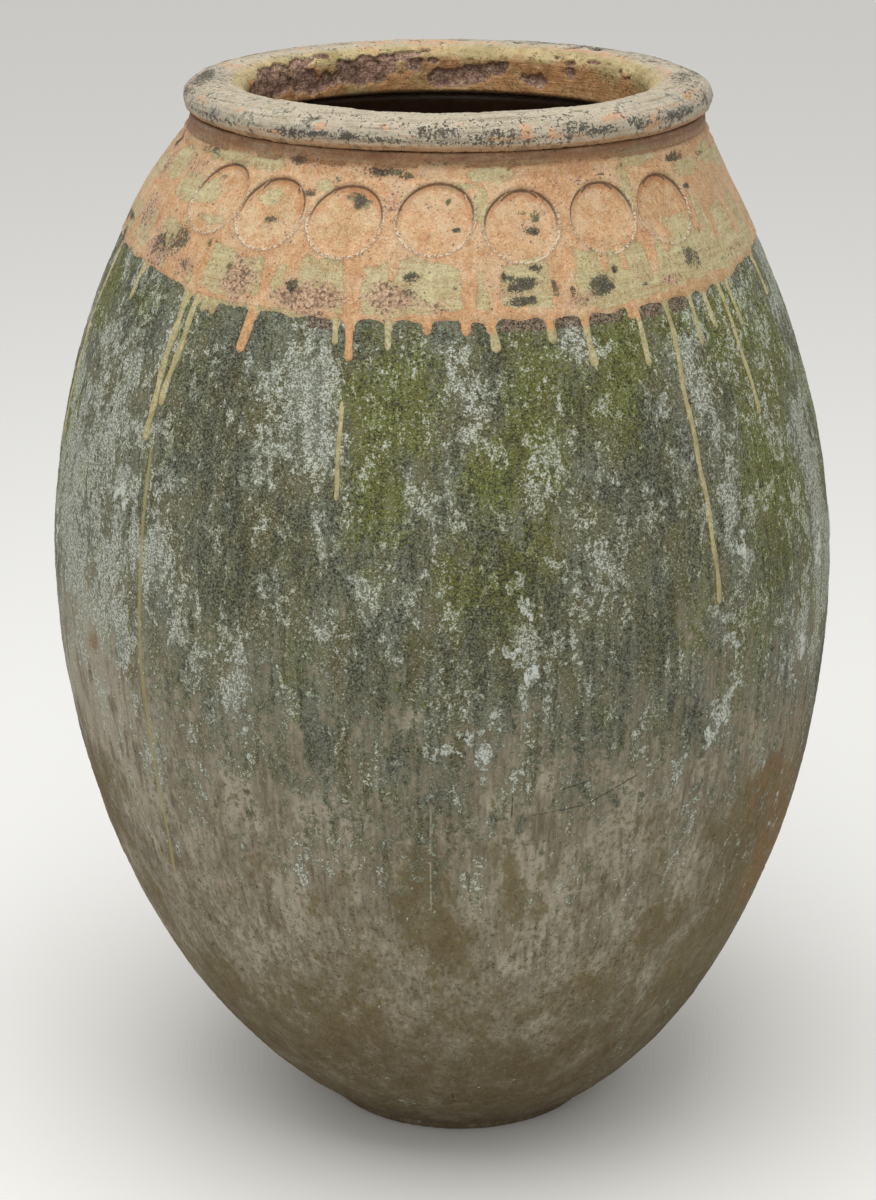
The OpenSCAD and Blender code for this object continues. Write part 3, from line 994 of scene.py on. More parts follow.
pink_dabs = [
    (-36, 777, 4.4, 17, 0.95), (-22, 770, 6.5, 12, 0.95), (-8, 774, 4.6, 12, 0.95), (-1, 766, 3, 7, 0.7),
    (-59, 782, 5, 16, 0.85), (-49.5, 778, 3, 10, 0.8), (43, 772, 2.4, 5, 0.8), (24, 768, 4, 6, 0.6),
    (12, 775, 3, 10, 0.5), (-12, 858, 8, 7, 0.5), (-27, 862, 6, 6, 0.5), (26, 852, 9, 8, 0.45),
    (20, 838, 2, 8, 0.4), (-9.5, 838, 2, 10, 0.6), (-33.5, 820, 3, 8, 0.5), (17, 822, 3, 10, 0.5),
    (-70, 800, 6, 20, 0.6), (36, 780, 2.5, 7, 0.5), (1, 832, 3, 10, 0.3), (-62, 845, 6, 10, 0.5),
    (66, 776, 5, 8, 0.5), (-46, 836, 4, 5, 0.35),
] + strewn(23, 30, (765, 860), (2, 6), (5, 16), (0.5, 0.95))
soot_dabs = [
    (-25.4, 777, 1.3, 5.5, 1), (-25.8, 767, 1, 4, 0.6), (-4.5, 788, 2, 4, 0.8), (-5, 776, 2, 6, 0.45),
    (-33.3, 821, 1.5, 3, 0.85), (11.2, 787, 1.2, 3.5, 0.8), (14.5, 783, 2.6, 4.5, 0.85),
    (14.3, 771, 2.8, 2.5, 0.9), (12, 777, 2, 3, 0.5), (19.6, 777, 0.7, 8, 0.75), (22.7, 774, 0.7, 5, 0.75),
    (28.2, 776, 2.5, 8, 1), (31.4, 786, 0.8, 4, 0.7), (16.5, 792, 1.4, 3, 0.8), (13.6, 768, 3.2, 2, 0.8),
    (13.8, 779, 2.6, 2, 0.7), (-45, 797, 0.9, 4, 0.65),
    (1.1, 840, 0.6, 2.5, 0.9), (2.9, 820, 1.1, 2.5, 0.8), (17, 818, 1.8, 3.5, 0.8), (18, 828, 1, 5, 0.8),
    (15.5, 831, 1.2, 2, 0.6), (56.5, 832, 1.4, 2.5, 0.85), (-53.5, 796, 3, 13, 0.7), (-59, 788, 4, 10, 0.5),
    (-49, 778, 2.5, 6, 0.4), (-31.6, 862, 3, 4, 0.75), (-12.5, 859, 5.5, 4, 0.75), (-7.5, 855, 1.5, 3, 0.6),
    (-27, 841, 1.8, 3.5, 0.7), (-17.5, 842, 2, 4, 0.8), (-15.5, 837, 2, 5, 0.85), (56, 854, 4, 4, 0.8),
    (50, 785, 2.6, 11, 0.65),
    (37, 773, 0.9, 2, 0.7), (-38.9, 784, 0.8, 6, 0.6), (-59, 858, 5, 5, 0.5), (60, 776, 2, 3, 0.5),
    (-51, 843, 3, 3, 0.35), (2.7, 780, 0.5, 1.5, 0.8), (39, 855, 0.7, 3, 0.7), (-22, 851, 1.2, 3, 0.5),
    (68, 850, 3, 3, 0.5), (27.6, 802, 0.7, 2, 0.7), (33.5, 852, 1, 2, 0.5), (-1.5, 866, 4, 3, 0.5),
] + strewn(24, 46, (762, 865), (0.8, 4), (2.5, 9), (0.5, 0.95))
tan_dabs = [
    (54, 764, 16, 6, 0.7), (45, 830, 8, 20, 0.35), (-21, 815, 5, 6, 0.3), (12, 806, 6, 5, 0.3),
    (33, 806, 6, 5, 0.3), (60, 812, 5, 22, 0.5), (-33, 832, 4, 12, 0.45), (-18, 822, 5, 14, 0.4),
    (70, 830, 8, 30, 0.5), (10, 866, 60, 4, 0.5), (-66, 850, 10, 10, 0.4), (-48, 812, 3, 5, 0.5),
] + strewn(25, 20, (760, 865), (3, 10), (6, 24), (0.3, 0.7))
EDGE_ANGLES = [
    -180, -150, -120, -98, -80, -66, -56, -50, -45, -38, -20, -2, 4, 25, 36, 50, 60, 66, 80,
    100, 125, 150, 180,
]
EDGE_HEIGHTS = [
    768, 775, 766, 772, 775, 772, 769, 765, 761, 758, 757, 758, 758, 757, 759, 760, 763, 768, 773, 768, 776,
    766, 768,
]
BAND_FOOT = 750
GLAZE = 1.2
THROWING_LINES = [(863, 2, -1.2), (858.5, 2, 0.8), (853.5, 2.2, -0.7), (849, 2.5, 0.4)]
print("Marks on the band:", sum(len(marks) for marks in (olive_patches, pink_dabs, soot_dabs, tan_dabs)))

# %% [markdown]
# ## Shapes that were poured
# Liquid makes round tips, fillets where two runs join, and edges that wander a little. A signed
# distance in millimetres, above zero inside a shape and below zero outside, can do all three:
# the larger of two distances joins two shapes, and a little extra near the join rounds it. A patch
# with no slip is measured the other way round, and the smaller of the two distances cuts it out.

# %% Distances on the band


def glaze_edge(angle):
    """The height of the glaze's lower edge, with the small waves of a dipped edge."""
    level = np.interp(angle, EDGE_ANGLES, EDGE_HEIGHTS)
    turn = np.radians(angle)
    return level + 0.9 * np.sin(41 * turn) * np.sin(7 * turn + 1) + 0.6 * np.sin(67 * turn + 2)


def wandered(angle, height, amount=1.0):
    """Shifts places by small waves, so that drawn shapes get edges as uneven as poured ones."""
    across = np.sin(height * 0.29 + angle * 0.8) + 0.6 * np.sin(height * 0.63 - angle * 1.7 + 2)
    along = np.sin(angle * 1.3 + height * 0.17) + 0.6 * np.sin(angle * 2.9 - height * 0.31 + 1)
    return angle + 0.22 * amount * across, height + 1.3 * amount * along


def patch_distance(angle, height, patches):
    """Millimetres outside (+) or inside (-) the nearest rounded patch."""
    nearest_edge = np.full_like(angle, 30.0)
    for mark_angle, mark_height, wide, tall, *_ in patches:
        across = np.abs(turn_between(angle, mark_angle)) / wide
        along = np.abs(height - mark_height) / tall
        size = min(wide * MM_PER_DEGREE, tall)
        nearest_edge = np.minimum(nearest_edge, ((across**2.4 + along**2.4) ** (1 / 2.4) - 1) * size)
    return nearest_edge


def joined(first, second, reach=4.0):
    """The larger of two distances, with a round fillet where they meet, as liquids have."""
    mix = np.clip(reach - np.abs(first - second), 0, None) / reach
    return np.maximum(first, second) + mix * mix * reach / 4


def flow_distance(angle, height, flow):
    """Millimetres inside (+) or outside (-) one run of slip, which narrows towards its round tip."""
    top_angle, tip_angle, top, tip, wide, narrow = flow
    part = np.clip((top - height) / (top - tip), 0, 1)
    half = (wide + (narrow - wide) * np.sqrt(part)) * MM_PER_DEGREE
    across = turn_between(angle, top_angle + (tip_angle - top_angle) * part) * MM_PER_DEGREE
    below = np.clip(tip + narrow * MM_PER_DEGREE - height, 0, None)
    return half - np.hypot(across, below)


def slip_distance(angle, height):
    """Millimetres inside (+) or outside (-) the orange slip."""
    bent_angle, bent_height = wandered(angle, height, 0.7)
    slip = bent_height - np.interp(turn_between(angle, 0), UPPER_ANGLES, UPPER_HEIGHTS)
    strip = glaze_edge(angle) + 6 + 3 * np.sin(np.radians(angle) * 9) - bent_height
    slip = joined(slip, strip, 3.0)
    for flow in slip_flows:
        slip = joined(slip, flow_distance(bent_angle, height, flow))
    slip = np.minimum(slip, patch_distance(bent_angle, bent_height, olive_patches))
    return np.minimum(slip, patch_distance(angle, height, [LIP_WINDOW]))


RAY_STRENGTHS = [0.5, 1.0, 0.9, 0.25, 0.2, 0.3, 0.6]
RAY_COUNT = 8


def stamp_marks_on(places):
    """Signed distance to the nearest stamp's edge, how far up the stamp each point lies, and worn rays."""
    ring = np.full(len(places), 99.0)
    up_part = np.zeros(len(places))
    rays = np.zeros(len(places))
    for mark, strength in zip(stamp_marks, RAY_STRENGTHS):
        centre = np.array(wall_place(*mark)) / MM
        axis = np.array(wall_out(*mark))
        upward = np.array([0, 0, 1]) - axis * axis[2]
        from_centre = places / MM - centre
        flat = from_centre - np.outer(from_centre @ axis, axis)
        beyond = np.linalg.norm(flat, axis=1) - STAMP_RADIUS
        nearer = np.abs(beyond) < np.abs(ring)
        ring = np.where(nearer, beyond, ring)
        upward /= np.linalg.norm(upward)
        up_part = np.where(nearer, flat @ upward / (beyond + STAMP_RADIUS + 1e-6), up_part)
        turn = np.arctan2(flat @ np.cross(axis, upward), flat @ upward)
        spokes = (0.5 + 0.5 * np.cos(RAY_COUNT * turn)) ** 3
        in_reach = fade(beyond, -26, -21) * fade(beyond, -5, -9)
        rays = np.maximum(rays, strength * spokes * in_reach)
    return ring, up_part, rays


print("Glaze edge at the front:", round(float(glaze_edge(0)), 1), "mm")

# %% [markdown]
# ## Laying the band's paint
# The painter stores the distances and dabs on the coat's vertices. It also swells the edge where a
# trail leaves it, and gives the neck the faint rings that fingers leave on a turning pot.

# %% Paint the band


def add_tongues(angle, height, edge, slip):
    """Swells the band's edge where each trail leaves it, and clears the orange slip off olive trails."""
    for path, width, tint in run_paths:
        turn, top = path[0]
        if top < BAND_FOOT:
            continue
        level = float(glaze_edge(turn))
        half = width / 2 / MM_PER_DEGREE
        tongue = (turn, turn, level + 6, level - 9, half * 1.3, half)
        edge = joined(edge, flow_distance(angle, height, tongue), 5.0)
        if tint == OLIVE_RUN:
            root = (turn, level - 6, half + 0.35, 7)
            slip = np.minimum(slip, patch_distance(angle, height, [root]))
    return edge, slip


def paint_band(mesh):
    """Stores the glaze's layers on every vertex."""
    angle, height = angle_and_height(mesh)
    edge, slip = add_tongues(angle, height, height - glaze_edge(angle), slip_distance(angle, height))
    ring, up_part, rays = stamp_marks_on(vertex_places(mesh))
    write_floats(mesh, "slip", slip)
    write_floats(mesh, "pink", dabs(angle, height, pink_dabs))
    write_floats(mesh, "soot", dabs(angle, height, soot_dabs))
    write_floats(mesh, "tan", dabs(angle, height, tan_dabs))
    write_floats(mesh, "edge", edge)
    # The "throat" layer places painted shade under the rim's overhang, strongest right below the rim.
    write_floats(mesh, "throat", fade(height, 856, 869))
    write_floats(mesh, "ring", ring)
    write_floats(mesh, "up_part", up_part)
    write_floats(mesh, "rays", rays)
    wander = 0.8 * np.sin(np.radians(angle) * 3 + 1)
    throwing_lines = np.zeros_like(height)
    for line, wide, rise in THROWING_LINES:
        throwing_lines += rise * np.exp(-(((height - line - wander) / wide) ** 2))
    write_floats(mesh, "dent", throwing_lines)
    for name in ("crust", "spall"):
        write_floats(mesh, name, np.zeros_like(angle))


print("Throwing lines on the neck:", len(THROWING_LINES))

# %% [markdown]
# ## The finish of the glazed shoulder
# The glaze is old and half matt: an orange slip with brush marks over olive, grit, fine specks,
# pink worn patches and black soot. The wiped neck is striped, and right under the rim it is darkened
# with painted shade from the overhanging roll. The stored distance to each stamp's edge draws a
# soft painted shadow inside the top of the stamp, a dark crease of painted shade and dirt along its
# upper edge, a painted highlight with wear on the lip below, and a thin darker line just outside
# the lower edge. One material does it all, because the layers cross every boundary.

# %% Glazed shoulder
band_finish, tree, shader, spot = new_finish("shoulder_glaze")
broad = spot.noise(50, 3, 0.6)
cloud = spot.noise(20, 4, 0.65)
other_cloud = spot.vector("ADD", (2, 4, 1)).noise(24, 5, 0.7)
blot = spot.noise(6, 4, 0.7)
grain = spot.noise(2.2, 2, 0.7)
dust = spot.noise(1.3, 1)
brush = spot.noise(5, 3, 0.6, stretch=(1, 1, 0.12))
mottle = (blot * 0.4 + grain * 0.35 + dust * 0.25).sharpen(1.9)
grit = (grain * 0.5 + dust * 0.5).sharpen(2.0)
brushed = (cloud * 0.4 + brush * 0.35 + blot * 0.25).sharpen(1.7)
orange = shades(brushed, (0.68, 0.49, 0.32), (0.81, 0.65, 0.48))
peachy = spread(broad * 0.2 + 0.34, other_cloud.sharpen(1.5), 0.4)
orange = blend(peachy * 0.5, orange, linear(0.80, 0.71, 0.57))
orange = blend(painted(tree, "tan") * 0.8, orange, linear(0.66, 0.55, 0.38))
lines = level_lines(spot, 3.5)
strokes = (cloud * 0.3 + lines * 0.45 + brush * 0.25).sharpen(1.8)
olive = shades(strokes, (0.63, 0.54, 0.37), (0.75, 0.72, 0.55))
slip_edge = painted(tree, "slip") + (blot - 0.5) * 1.6 + (cloud - 0.5) * 2.4
glaze = blend(slip_edge.ramp(-0.5, 0.5), olive, orange)
rim_of_slip = slip_edge.math("ABSOLUTE").ramp(1.1, 0.2)
glaze = blend(rim_of_slip * 0.25, glaze, linear(0.52, 0.42, 0.28))
worn = spread(other_cloud * 0.3 + 0.16, mottle, 0.3)
glaze = blend(worn * 0.3, glaze, shades(brush.sharpen(2.0), (0.50, 0.39, 0.27), (0.84, 0.76, 0.64)))
pink = spread(painted(tree, "pink") * 0.72 + 0.14, other_cloud * 0.35 + mottle * 0.65, 0.3)
glaze = blend(pink * 0.75, glaze, shades(grit * 0.7 + mottle * 0.3, (0.50, 0.36, 0.30), (0.80, 0.65, 0.55)))
glaze = blend(grit.ramp(0.55, 1.0) * 0.2, glaze, linear(0.90, 0.82, 0.70))
glaze = blend(grit.ramp(0.38, 0.0) * 0.35, glaze, linear(0.42, 0.30, 0.20))
specks = spread(pink * 0.22 + 0.17, spot.noise(2.6, 2) * 0.85 + blot * 0.1, 0.12)
glaze = blend(specks * 0.75, glaze, linear(0.27, 0.21, 0.17))
soot = spread(painted(tree, "soot") * 0.98 + 0.03, mottle * 0.85 + cloud * 0.15, 0.22)
soot_colour = shades(broad.ramp(0.4, 0.7), (0.17, 0.17, 0.16), (0.33, 0.34, 0.21))
glaze = blend(soot * 0.9, glaze, blend(grit.ramp(0.6, 1.0) * 0.6, soot_colour, linear(0.50, 0.49, 0.40)))
# Painted shade under the overhanging rim, striped by the wiping lines.
shade = painted(tree, "throat") * (lines * 0.5 + cloud * 0.4 + 0.3).clamp()
glaze = blend(shade * 0.92, glaze, shades(lines.sharpen(1.5), (0.20, 0.10, 0.05), (0.42, 0.24, 0.12)))
ring = painted(tree, "ring")
up_part = painted(tree, "up_part")
rays = painted(tree, "rays") * mottle.ramp(0.1, 0.7)
glaze = blend(rays * 0.55, glaze, linear(0.76, 0.71, 0.54))
# Painted shadow inside the top of each stamp, under its upper wall.
stamp_top_shadow = (ring + 3.2).math("ABSOLUTE").ramp(3.0, 0.5) * up_part.ramp(-0.2, 0.7)
glaze = blend(stamp_top_shadow * 0.45, glaze, linear(0.64, 0.40, 0.22))
# Painted shade with some dirt: a dark crease along the stamp's upper edge.
crease_shade_and_dirt = (ring + 0.7).math("ABSOLUTE").ramp(1.3, 0.3) * up_part.ramp(-0.4, 0.4)
glaze = blend(crease_shade_and_dirt * 0.8, glaze, linear(0.30, 0.18, 0.10))
# A thin darker line just outside the stamp's lower edge.
line_outside_lower_edge = (ring - 2.3).math("ABSOLUTE").ramp(1.2, 0.2) * up_part.ramp(0.6, -0.3)
glaze = blend(line_outside_lower_edge * 0.3, glaze, linear(0.48, 0.36, 0.26))
# Painted highlight with some wear on the lower lip of each stamp.
lip = (ring - 0.8).math("ABSOLUTE").ramp(1.3, 0.4) * mottle.ramp(-0.1, 0.35)
lip_highlight_colour = shades(grit.ramp(0.35, 0.6), (0.42, 0.37, 0.30), (0.82, 0.77, 0.68))
glaze = blend(lip * up_part.ramp(1.1, -0.3) * 0.75, glaze, lip_highlight_colour)
glaze_relief = blot * 0.5 + grit * 0.6 + brush * 0.4 - rays
finish(tree, shader, glaze, pink * 0.2 + soot * 0.3 + 0.55, glaze_relief, 0.5)
shader.inputs["Specular IOR Level"].default_value = 0.35
print("Finish: shoulder glaze,", len(tree.nodes), "nodes")

# %% [markdown]
# ## Clay courses
# The belly is five rings of clay on a floor disc, with the shoulder course on top. Each ring's
# section runs up the outside in fine steps, crosses the pinched ridge of the joint, and comes down
# the inside in coarse ones, because nobody sees the inside. The corner rows are marked, and the
# edges along them are made sharp, so that the round shading doesn't bend into the hidden joint.

# %% Turn the courses
WALL_COLUMNS = 960
RIDGE_HEIGHT = 7
RIDGE_HALF = 4.5
SKIN_STEP = 2.3
clay_pieces = {}


def joint_rows(height, upward):
    """The pinched ridge between two courses, from the outside to the inside if upward is true."""
    middle = (float(outer_radius(height)) + float(inner_radius(height))) / 2
    steps = [(middle + RIDGE_HALF, 0), (middle, RIDGE_HEIGHT), (middle - RIDGE_HALF, 0)]
    if not upward:
        steps.reverse()
    return [plain_row(radius, height + rise) for radius, rise in steps]


def sharpen_corners(mesh):
    """Makes the edges along the corner rows sharp."""
    corner = read_floats(mesh, "corner") > 0.5
    ends = np.empty(len(mesh.edges) * 2, int)
    mesh.edges.foreach_get("vertices", ends)
    sharp = corner[ends.reshape(-1, 2)].all(axis=1)
    layer = mesh.attributes.get("sharp_edge") or mesh.attributes.new("sharp_edge", "BOOLEAN", "EDGE")
    layer.data.foreach_set("value", sharp)


def skin_rows(bottom, top, step=SKIN_STEP, **extra):
    count = max(2, round((top - bottom) / step)) + 1
    heights = np.linspace(bottom, top, count)
    return [
        wall_row(height, corner=int(place in (0, count - 1)), **extra)
        for place, height in enumerate(heights)
    ]


def lining_rows(top, bottom, step=14):
    count = max(2, round((top - bottom) / step)) + 1
    return [plain_row(inner_radius(height), height) for height in np.linspace(top, bottom, count)]


course_names = [name for name in WALL_NODES if "course" in name]
for name in course_names:
    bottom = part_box(name)[0].z / MM
    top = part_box(name)[1].z / MM - RIDGE_HEIGHT
    rows = skin_rows(bottom, top) + joint_rows(top, True)
    rows += lining_rows(top, bottom) + joint_rows(bottom, False)
    rows.append(rows[0])
    clay_pieces[name] = turned(name, rows, WALL_COLUMNS)
    print(name, "turned:", len(clay_pieces[name].vertices), "points")

# %% [markdown]
# ## The floor disc
# The jar was started on a thick disc, whose lower edge was rounded off with a wet thumb. The disc
# is turned like the courses. Its section starts on the axis and ends on it, so the wheel closes
# both poles. It clears the ground by less than a millimetre, so that the two surfaces don't share
# a plane.

# %% Turn the floor disc
FOOT_CLEARANCE = 0.6
FOOT_ROUND = 9
FLOOR_THICK = 34
disc_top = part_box("base_disc")[1].z / MM - RIDGE_HEIGHT
foot_radius = float(outer_radius(FOOT_ROUND))
rows = [plain_row(radius, FOOT_CLEARANCE) for radius in (0, 30, 60, 90)]
for step in range(7):
    tilt = math.pi / 2 * step / 6
    radius = foot_radius - FOOT_ROUND * 0.8 * (1 - math.sin(tilt))
    height = FOOT_CLEARANCE + (FOOT_ROUND - FOOT_CLEARANCE) * (1 - math.cos(tilt))
    rows.append((radius, height, math.sin(tilt), -math.cos(tilt), step / 6, 0, 0))
rows += skin_rows(FOOT_ROUND + 1.5, disc_top)
rows += joint_rows(disc_top, True) + [plain_row(inner_radius(disc_top + 8) - 2, disc_top)]
rows += [plain_row(radius, FLOOR_THICK) for radius in (90, 60, 30, 0)]
clay_pieces["base_disc"] = turned("base_disc", rows, WALL_COLUMNS)
print("base_disc turned:", len(clay_pieces["base_disc"].vertices), "points")

# %% [markdown]
# ## Finishing a piece
# A jar of this size sags a little before it is dry: this one stands slightly off its own axis at
# the foot and at the rim. Every piece goes through the same last steps, in one function: paint,
# weather, lean, sharp corners, and then it takes the place of its CAD node. The lean depends on
# the height alone, so neighbouring pieces still meet.

# %% Stand the jar up and finish a piece
FOOT_SHIFT = 16
RIM_SHIFT = 7
CLAY_SINK = 1.1
made_pieces = []


def lean(height):
    """How far the jar stands to the right of its axis: the foot sits off centre, and so does the rim."""
    bottom = FOOT_SHIFT * (1 - np.clip(height / jar_height * MM, 0, 1)) ** 3
    return bottom - 2 * fade(height, 500, 780) + RIM_SHIFT * fade(height, 805, 880)


def finish_piece(name, mesh, material, paint, swell=2.2, grit=0.7, spall=2.5, crust=0.9, stamped=False):
    """Paints a mesh, weathers it, leans it, and hands it over in place of the CAD node of its name."""
    paint(mesh)
    carrier = new_object("carrier", mesh)
    settings = {"Stamp Radius": STAMP_RADIUS * MM, "Stamp Depth": STAMP_DEPTH * MM, "Swell": swell,
                "Grit": grit, "Spall Depth": spall, "Crust Height": crust, "Material": material}
    if stamped:
        settings["Stamps"] = stamps
    done = run_shape_tree(weather, carrier, name, **settings)
    bpy.data.objects.remove(carrier)
    places = vertex_places(done)
    places[:, 0] += lean(places[:, 2] / MM) * MM
    done.vertices.foreach_set("co", places.astype(np.float32).ravel())
    sharpen_corners(done)
    done.update()
    piece = new_object(name + "_piece", done)
    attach(piece, "root")
    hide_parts(name)
    made_pieces.append(piece)
    return piece


def sink_under_glaze(mesh):
    """Paints the shoulder's clay, and lowers it a little where the glaze covers it."""
    paint_raw_clay(mesh)
    angle, height = angle_and_height(mesh)
    skin_lift = read_floats(mesh, "lift") - CLAY_SINK * fade(height - glaze_edge(angle), 3, 9)
    write_floats(mesh, "lift", skin_lift * read_floats(mesh, "skin"))


for name in ["base_disc"] + course_names[:-1]:
    finish_piece(name, clay_pieces[name], clay_finish, paint_raw_clay)
shoulder = clay_pieces["shoulder_course"]
finish_piece("shoulder_course", shoulder, clay_finish, sink_under_glaze, stamped=True)
print("Finished:", [piece.name for piece in made_pieces])

# %% [markdown]
# ## The glaze coat
# Glaze is a skin about a millimetre thick, with a rounded edge. The coat is turned as a closed
# skin over the whole shoulder. Above the band's edge it is lifted off the clay, and below the edge
# it dives into it, so the edge is as thick and round as a real one. The shoulder's own clay sinks
# a little under it, and the same stamps are pressed into both.

# %% Turn the glaze coat
COAT_SINK = 1.6
COAT_BOTTOM = 738
COAT_COLUMNS = 980
coat_top = collar_top - 0.5
coat_outer = [wall_row(height) for height in np.linspace(COAT_BOTTOM, coat_top, 92)]
coat_inner = [wall_row(height, lift=-COAT_SINK) for height in np.linspace(coat_top, COAT_BOTTOM, 6)]
coat = turned("shoulder_glaze", coat_outer + coat_inner + coat_outer[:1], COAT_COLUMNS, crowding=0.5)


def lay_glaze(mesh):
    """Paints the coat and gives it its thickness, with a round edge that dives into the clay."""
    paint_band(mesh)
    edge = read_floats(mesh, "edge")
    inside = read_floats(mesh, "lift") < -0.5
    round_edge = np.sqrt(np.clip(edge / 3, 0, 1))
    window = np.clip(read_floats(mesh, "slip") / 1.5 + 0.5, 0, 1) * 0.35
    under_clay = np.maximum(edge * 0.6, -1.0)
    thickness = np.where(edge > 0, (GLAZE - 0.35 + window) * round_edge, under_clay)
    write_floats(mesh, "lift", np.where(inside, -COAT_SINK, thickness))


finish_piece(
    "shoulder_glaze", coat, band_finish, lay_glaze, grit=0.25, crust=0, stamped=True
)
print("Pieces so far:", [piece.name for piece in made_pieces])

# %% [markdown]
# ## The collar
# The collar is the short ring between the shoulder and the rim. The coat covers its outside and
# the rim's skirt its inside, so it needs no fine detail. Its clay sinks by the glaze's thickness.

# %% Turn the collar
collar_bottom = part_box("neck_collar")[0].z / MM
collar_end = collar_top - 0.6
lap_radius = float(inner_radius(collar_bottom))
rows = skin_rows(collar_bottom, collar_end, lift=-GLAZE)
rows += [plain_row(lap_radius, collar_end), plain_row(lap_radius, collar_bottom)]
rows += joint_rows(collar_bottom, False)
rows.append(rows[0])
collar = turned("neck_collar", rows, 480)
finish_piece("neck_collar", collar, clay_finish, paint_raw_clay)
print("Collar from", round(collar_bottom, 1), "to", round(collar_end, 1), "mm")

# %% [markdown]
# ## The rolled rim
# The potter folded the top of the wall outwards into a thick roll, which gives a grip and keeps
# the mouth round. Its section is an oval, a little squarer than an ellipse, with a skirt down the
# throat. The oval's size comes from the CAD rim's box and from one ray shot at the throat.

# %% Rolled rim
rim_low, rim_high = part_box("rim_roll")
RIM_HALF_HEIGHT = 15
rim_radius = rim_high.x / MM
mouth_middle = (0, 0, jar_height - RIM_HALF_HEIGHT * MM)
throat_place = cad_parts["rim_roll"].ray_cast(mouth_middle, (0, 1, 0))[1]
throat_radius = float(throat_place.y / MM)
rim_middle = (rim_radius + throat_radius) / 2
rim_half = (rim_radius - throat_radius) / 2
rim_centre = rim_high.z / MM - RIM_HALF_HEIGHT
THROAT_BOTTOM = rim_centre - 25


def rim_row(turn):
    """A row on the roll, by its angle round the roll: 0 outside, 90 on top, 180 in the throat."""
    across = math.cos(math.radians(turn))
    upward = math.sin(math.radians(turn))
    radius = rim_middle + rim_half * math.copysign(abs(across) ** 0.92, across)
    height = rim_centre + RIM_HALF_HEIGHT * math.copysign(abs(upward) ** 0.92, upward)
    length = math.hypot(across / rim_half, upward / RIM_HALF_HEIGHT)
    return (radius, height, across / rim_half / length, upward / RIM_HALF_HEIGHT / length, 1, 0, 0)


rows = [plain_row(lap_radius, rim_low.z / MM), plain_row(lap_radius, collar_top)]
rows += [rim_row(turn) for turn in np.linspace(-62, 180, 84)]
throat_heights = np.linspace(rim_centre - 2, THROAT_BOTTOM, 12)
rows += [(throat_radius, height, -1, 0, 1, 0, 0) for height in throat_heights]
rows += [(throat_radius + 8, THROAT_BOTTOM - 3, -0.7, -0.7, 0.5, 0, 0)]
rows.append(rows[0])
rim = turned("rim_roll", rows, 980, crowding=0.35)
print("Rim radius outside and in the throat:", round(rim_radius, 1), round(throat_radius, 1), "mm")

# %% [markdown]
# ## Paint on the rim
# The rim was wiped with cream slip outside and olive glaze inside. Rain has left grey lichen and
# black specks on it, most of all on the lower half of the roll, and frost has burst craters out of
# the throat. Marks on the rim use the angle round the jar and the turn round the roll: 0 is the
# outside, 90 the top and 180 the throat.

# %% Marks of the rim
rim_grey_dabs = [
    (-80, 30, 16, 40, 0.6), (-58, 12, 14, 22, 0.9), (-33, -5, 6, 20, 0.9), (-45, 60, 10, 24, 0.4),
    (-20, 5, 10, 16, 0.6), (28, 15, 5, 24, 0.6), (32, 0, 6, 16, 0.8), (44, 12, 4, 26, 0.8),
    (57, 12, 9, 22, 1), (60, 60, 14, 16, 0.6), (75, 20, 8, 30, 0.6), (-100, 60, 10, 30, 0.5),
    (-150, 95, 14, 14, 0.4), (150, 90, 16, 16, 0.6), (125, 60, 20, 30, 0.5), (100, 30, 10, 30, 0.4),
] + strewn(31, 24, (-10, 100), (5, 14), (12, 30), (0.4, 0.9), (80, 280))
rim_soot_dabs = [
    (-33, -8, 8, 14, 0.8), (-20, -4, 12, 14, 0.75), (-2, 16, 6, 18, 0.8), (10, 12, 7, 18, 0.7),
    (-60, -5, 16, 14, 0.6), (27, 20, 5, 20, 0.7), (33, 2, 6, 14, 0.7), (44, 10, 4, 22, 0.7),
    (57, 8, 9, 18, 0.75), (5, -16, 22, 10, 0.6), (20, 50, 20, 14, 0.2), (-10, 45, 20, 16, 0.25),
    (-70, 50, 14, 30, 0.3), (150, 70, 20, 20, 0.4), (-85, 100, 10, 14, 0.4), (70, 40, 10, 30, 0.4),
    (-88, 125, 8, 12, 0.5),
] + strewn(32, 24, (-20, 90), (5, 14), (10, 26), (0.3, 0.8), (80, 280))
rim_peach_dabs = [
    (-27, 22, 2.2, 14, 1), (-38, -10, 4, 10, 0.8), (16, 20, 1.6, 22, 0.9), (21, 16, 1.4, 24, 0.8),
    (27, -5, 9, 14, 0.6), (56, 36, 7, 7, 0.8), (48, 10, 1.2, 24, 0.9), (-12, 30, 10, 16, 0.35),
    (135, 118, 20, 14, 0.8), (-165, 105, 14, 12, 0.6), (-100, 112, 10, 14, 0.5), (170, 112, 16, 8, 0.6),
    (-64, 80, 6, 16, 0.4), (95, 112, 12, 16, 0.6), (-82, 60, 5, 26, 0.5), (-140, 100, 12, 12, 0.4),
    (-66, 34, 5, 14, 0.6), (-50, 34, 3, 12, 0.6), (4, 40, 5, 12, 0.5), (36, 30, 5, 14, 0.6),
    (68, 48, 8, 14, 0.6), (-8, 6, 2, 14, 0.7), (12, -4, 5, 10, 0.7), (47, -8, 5, 12, 0.8),
    (-46, -12, 6, 10, 0.7),
] + strewn(33, 16, (-20, 110), (3, 9), (8, 22), (0.4, 0.9), (80, 280))
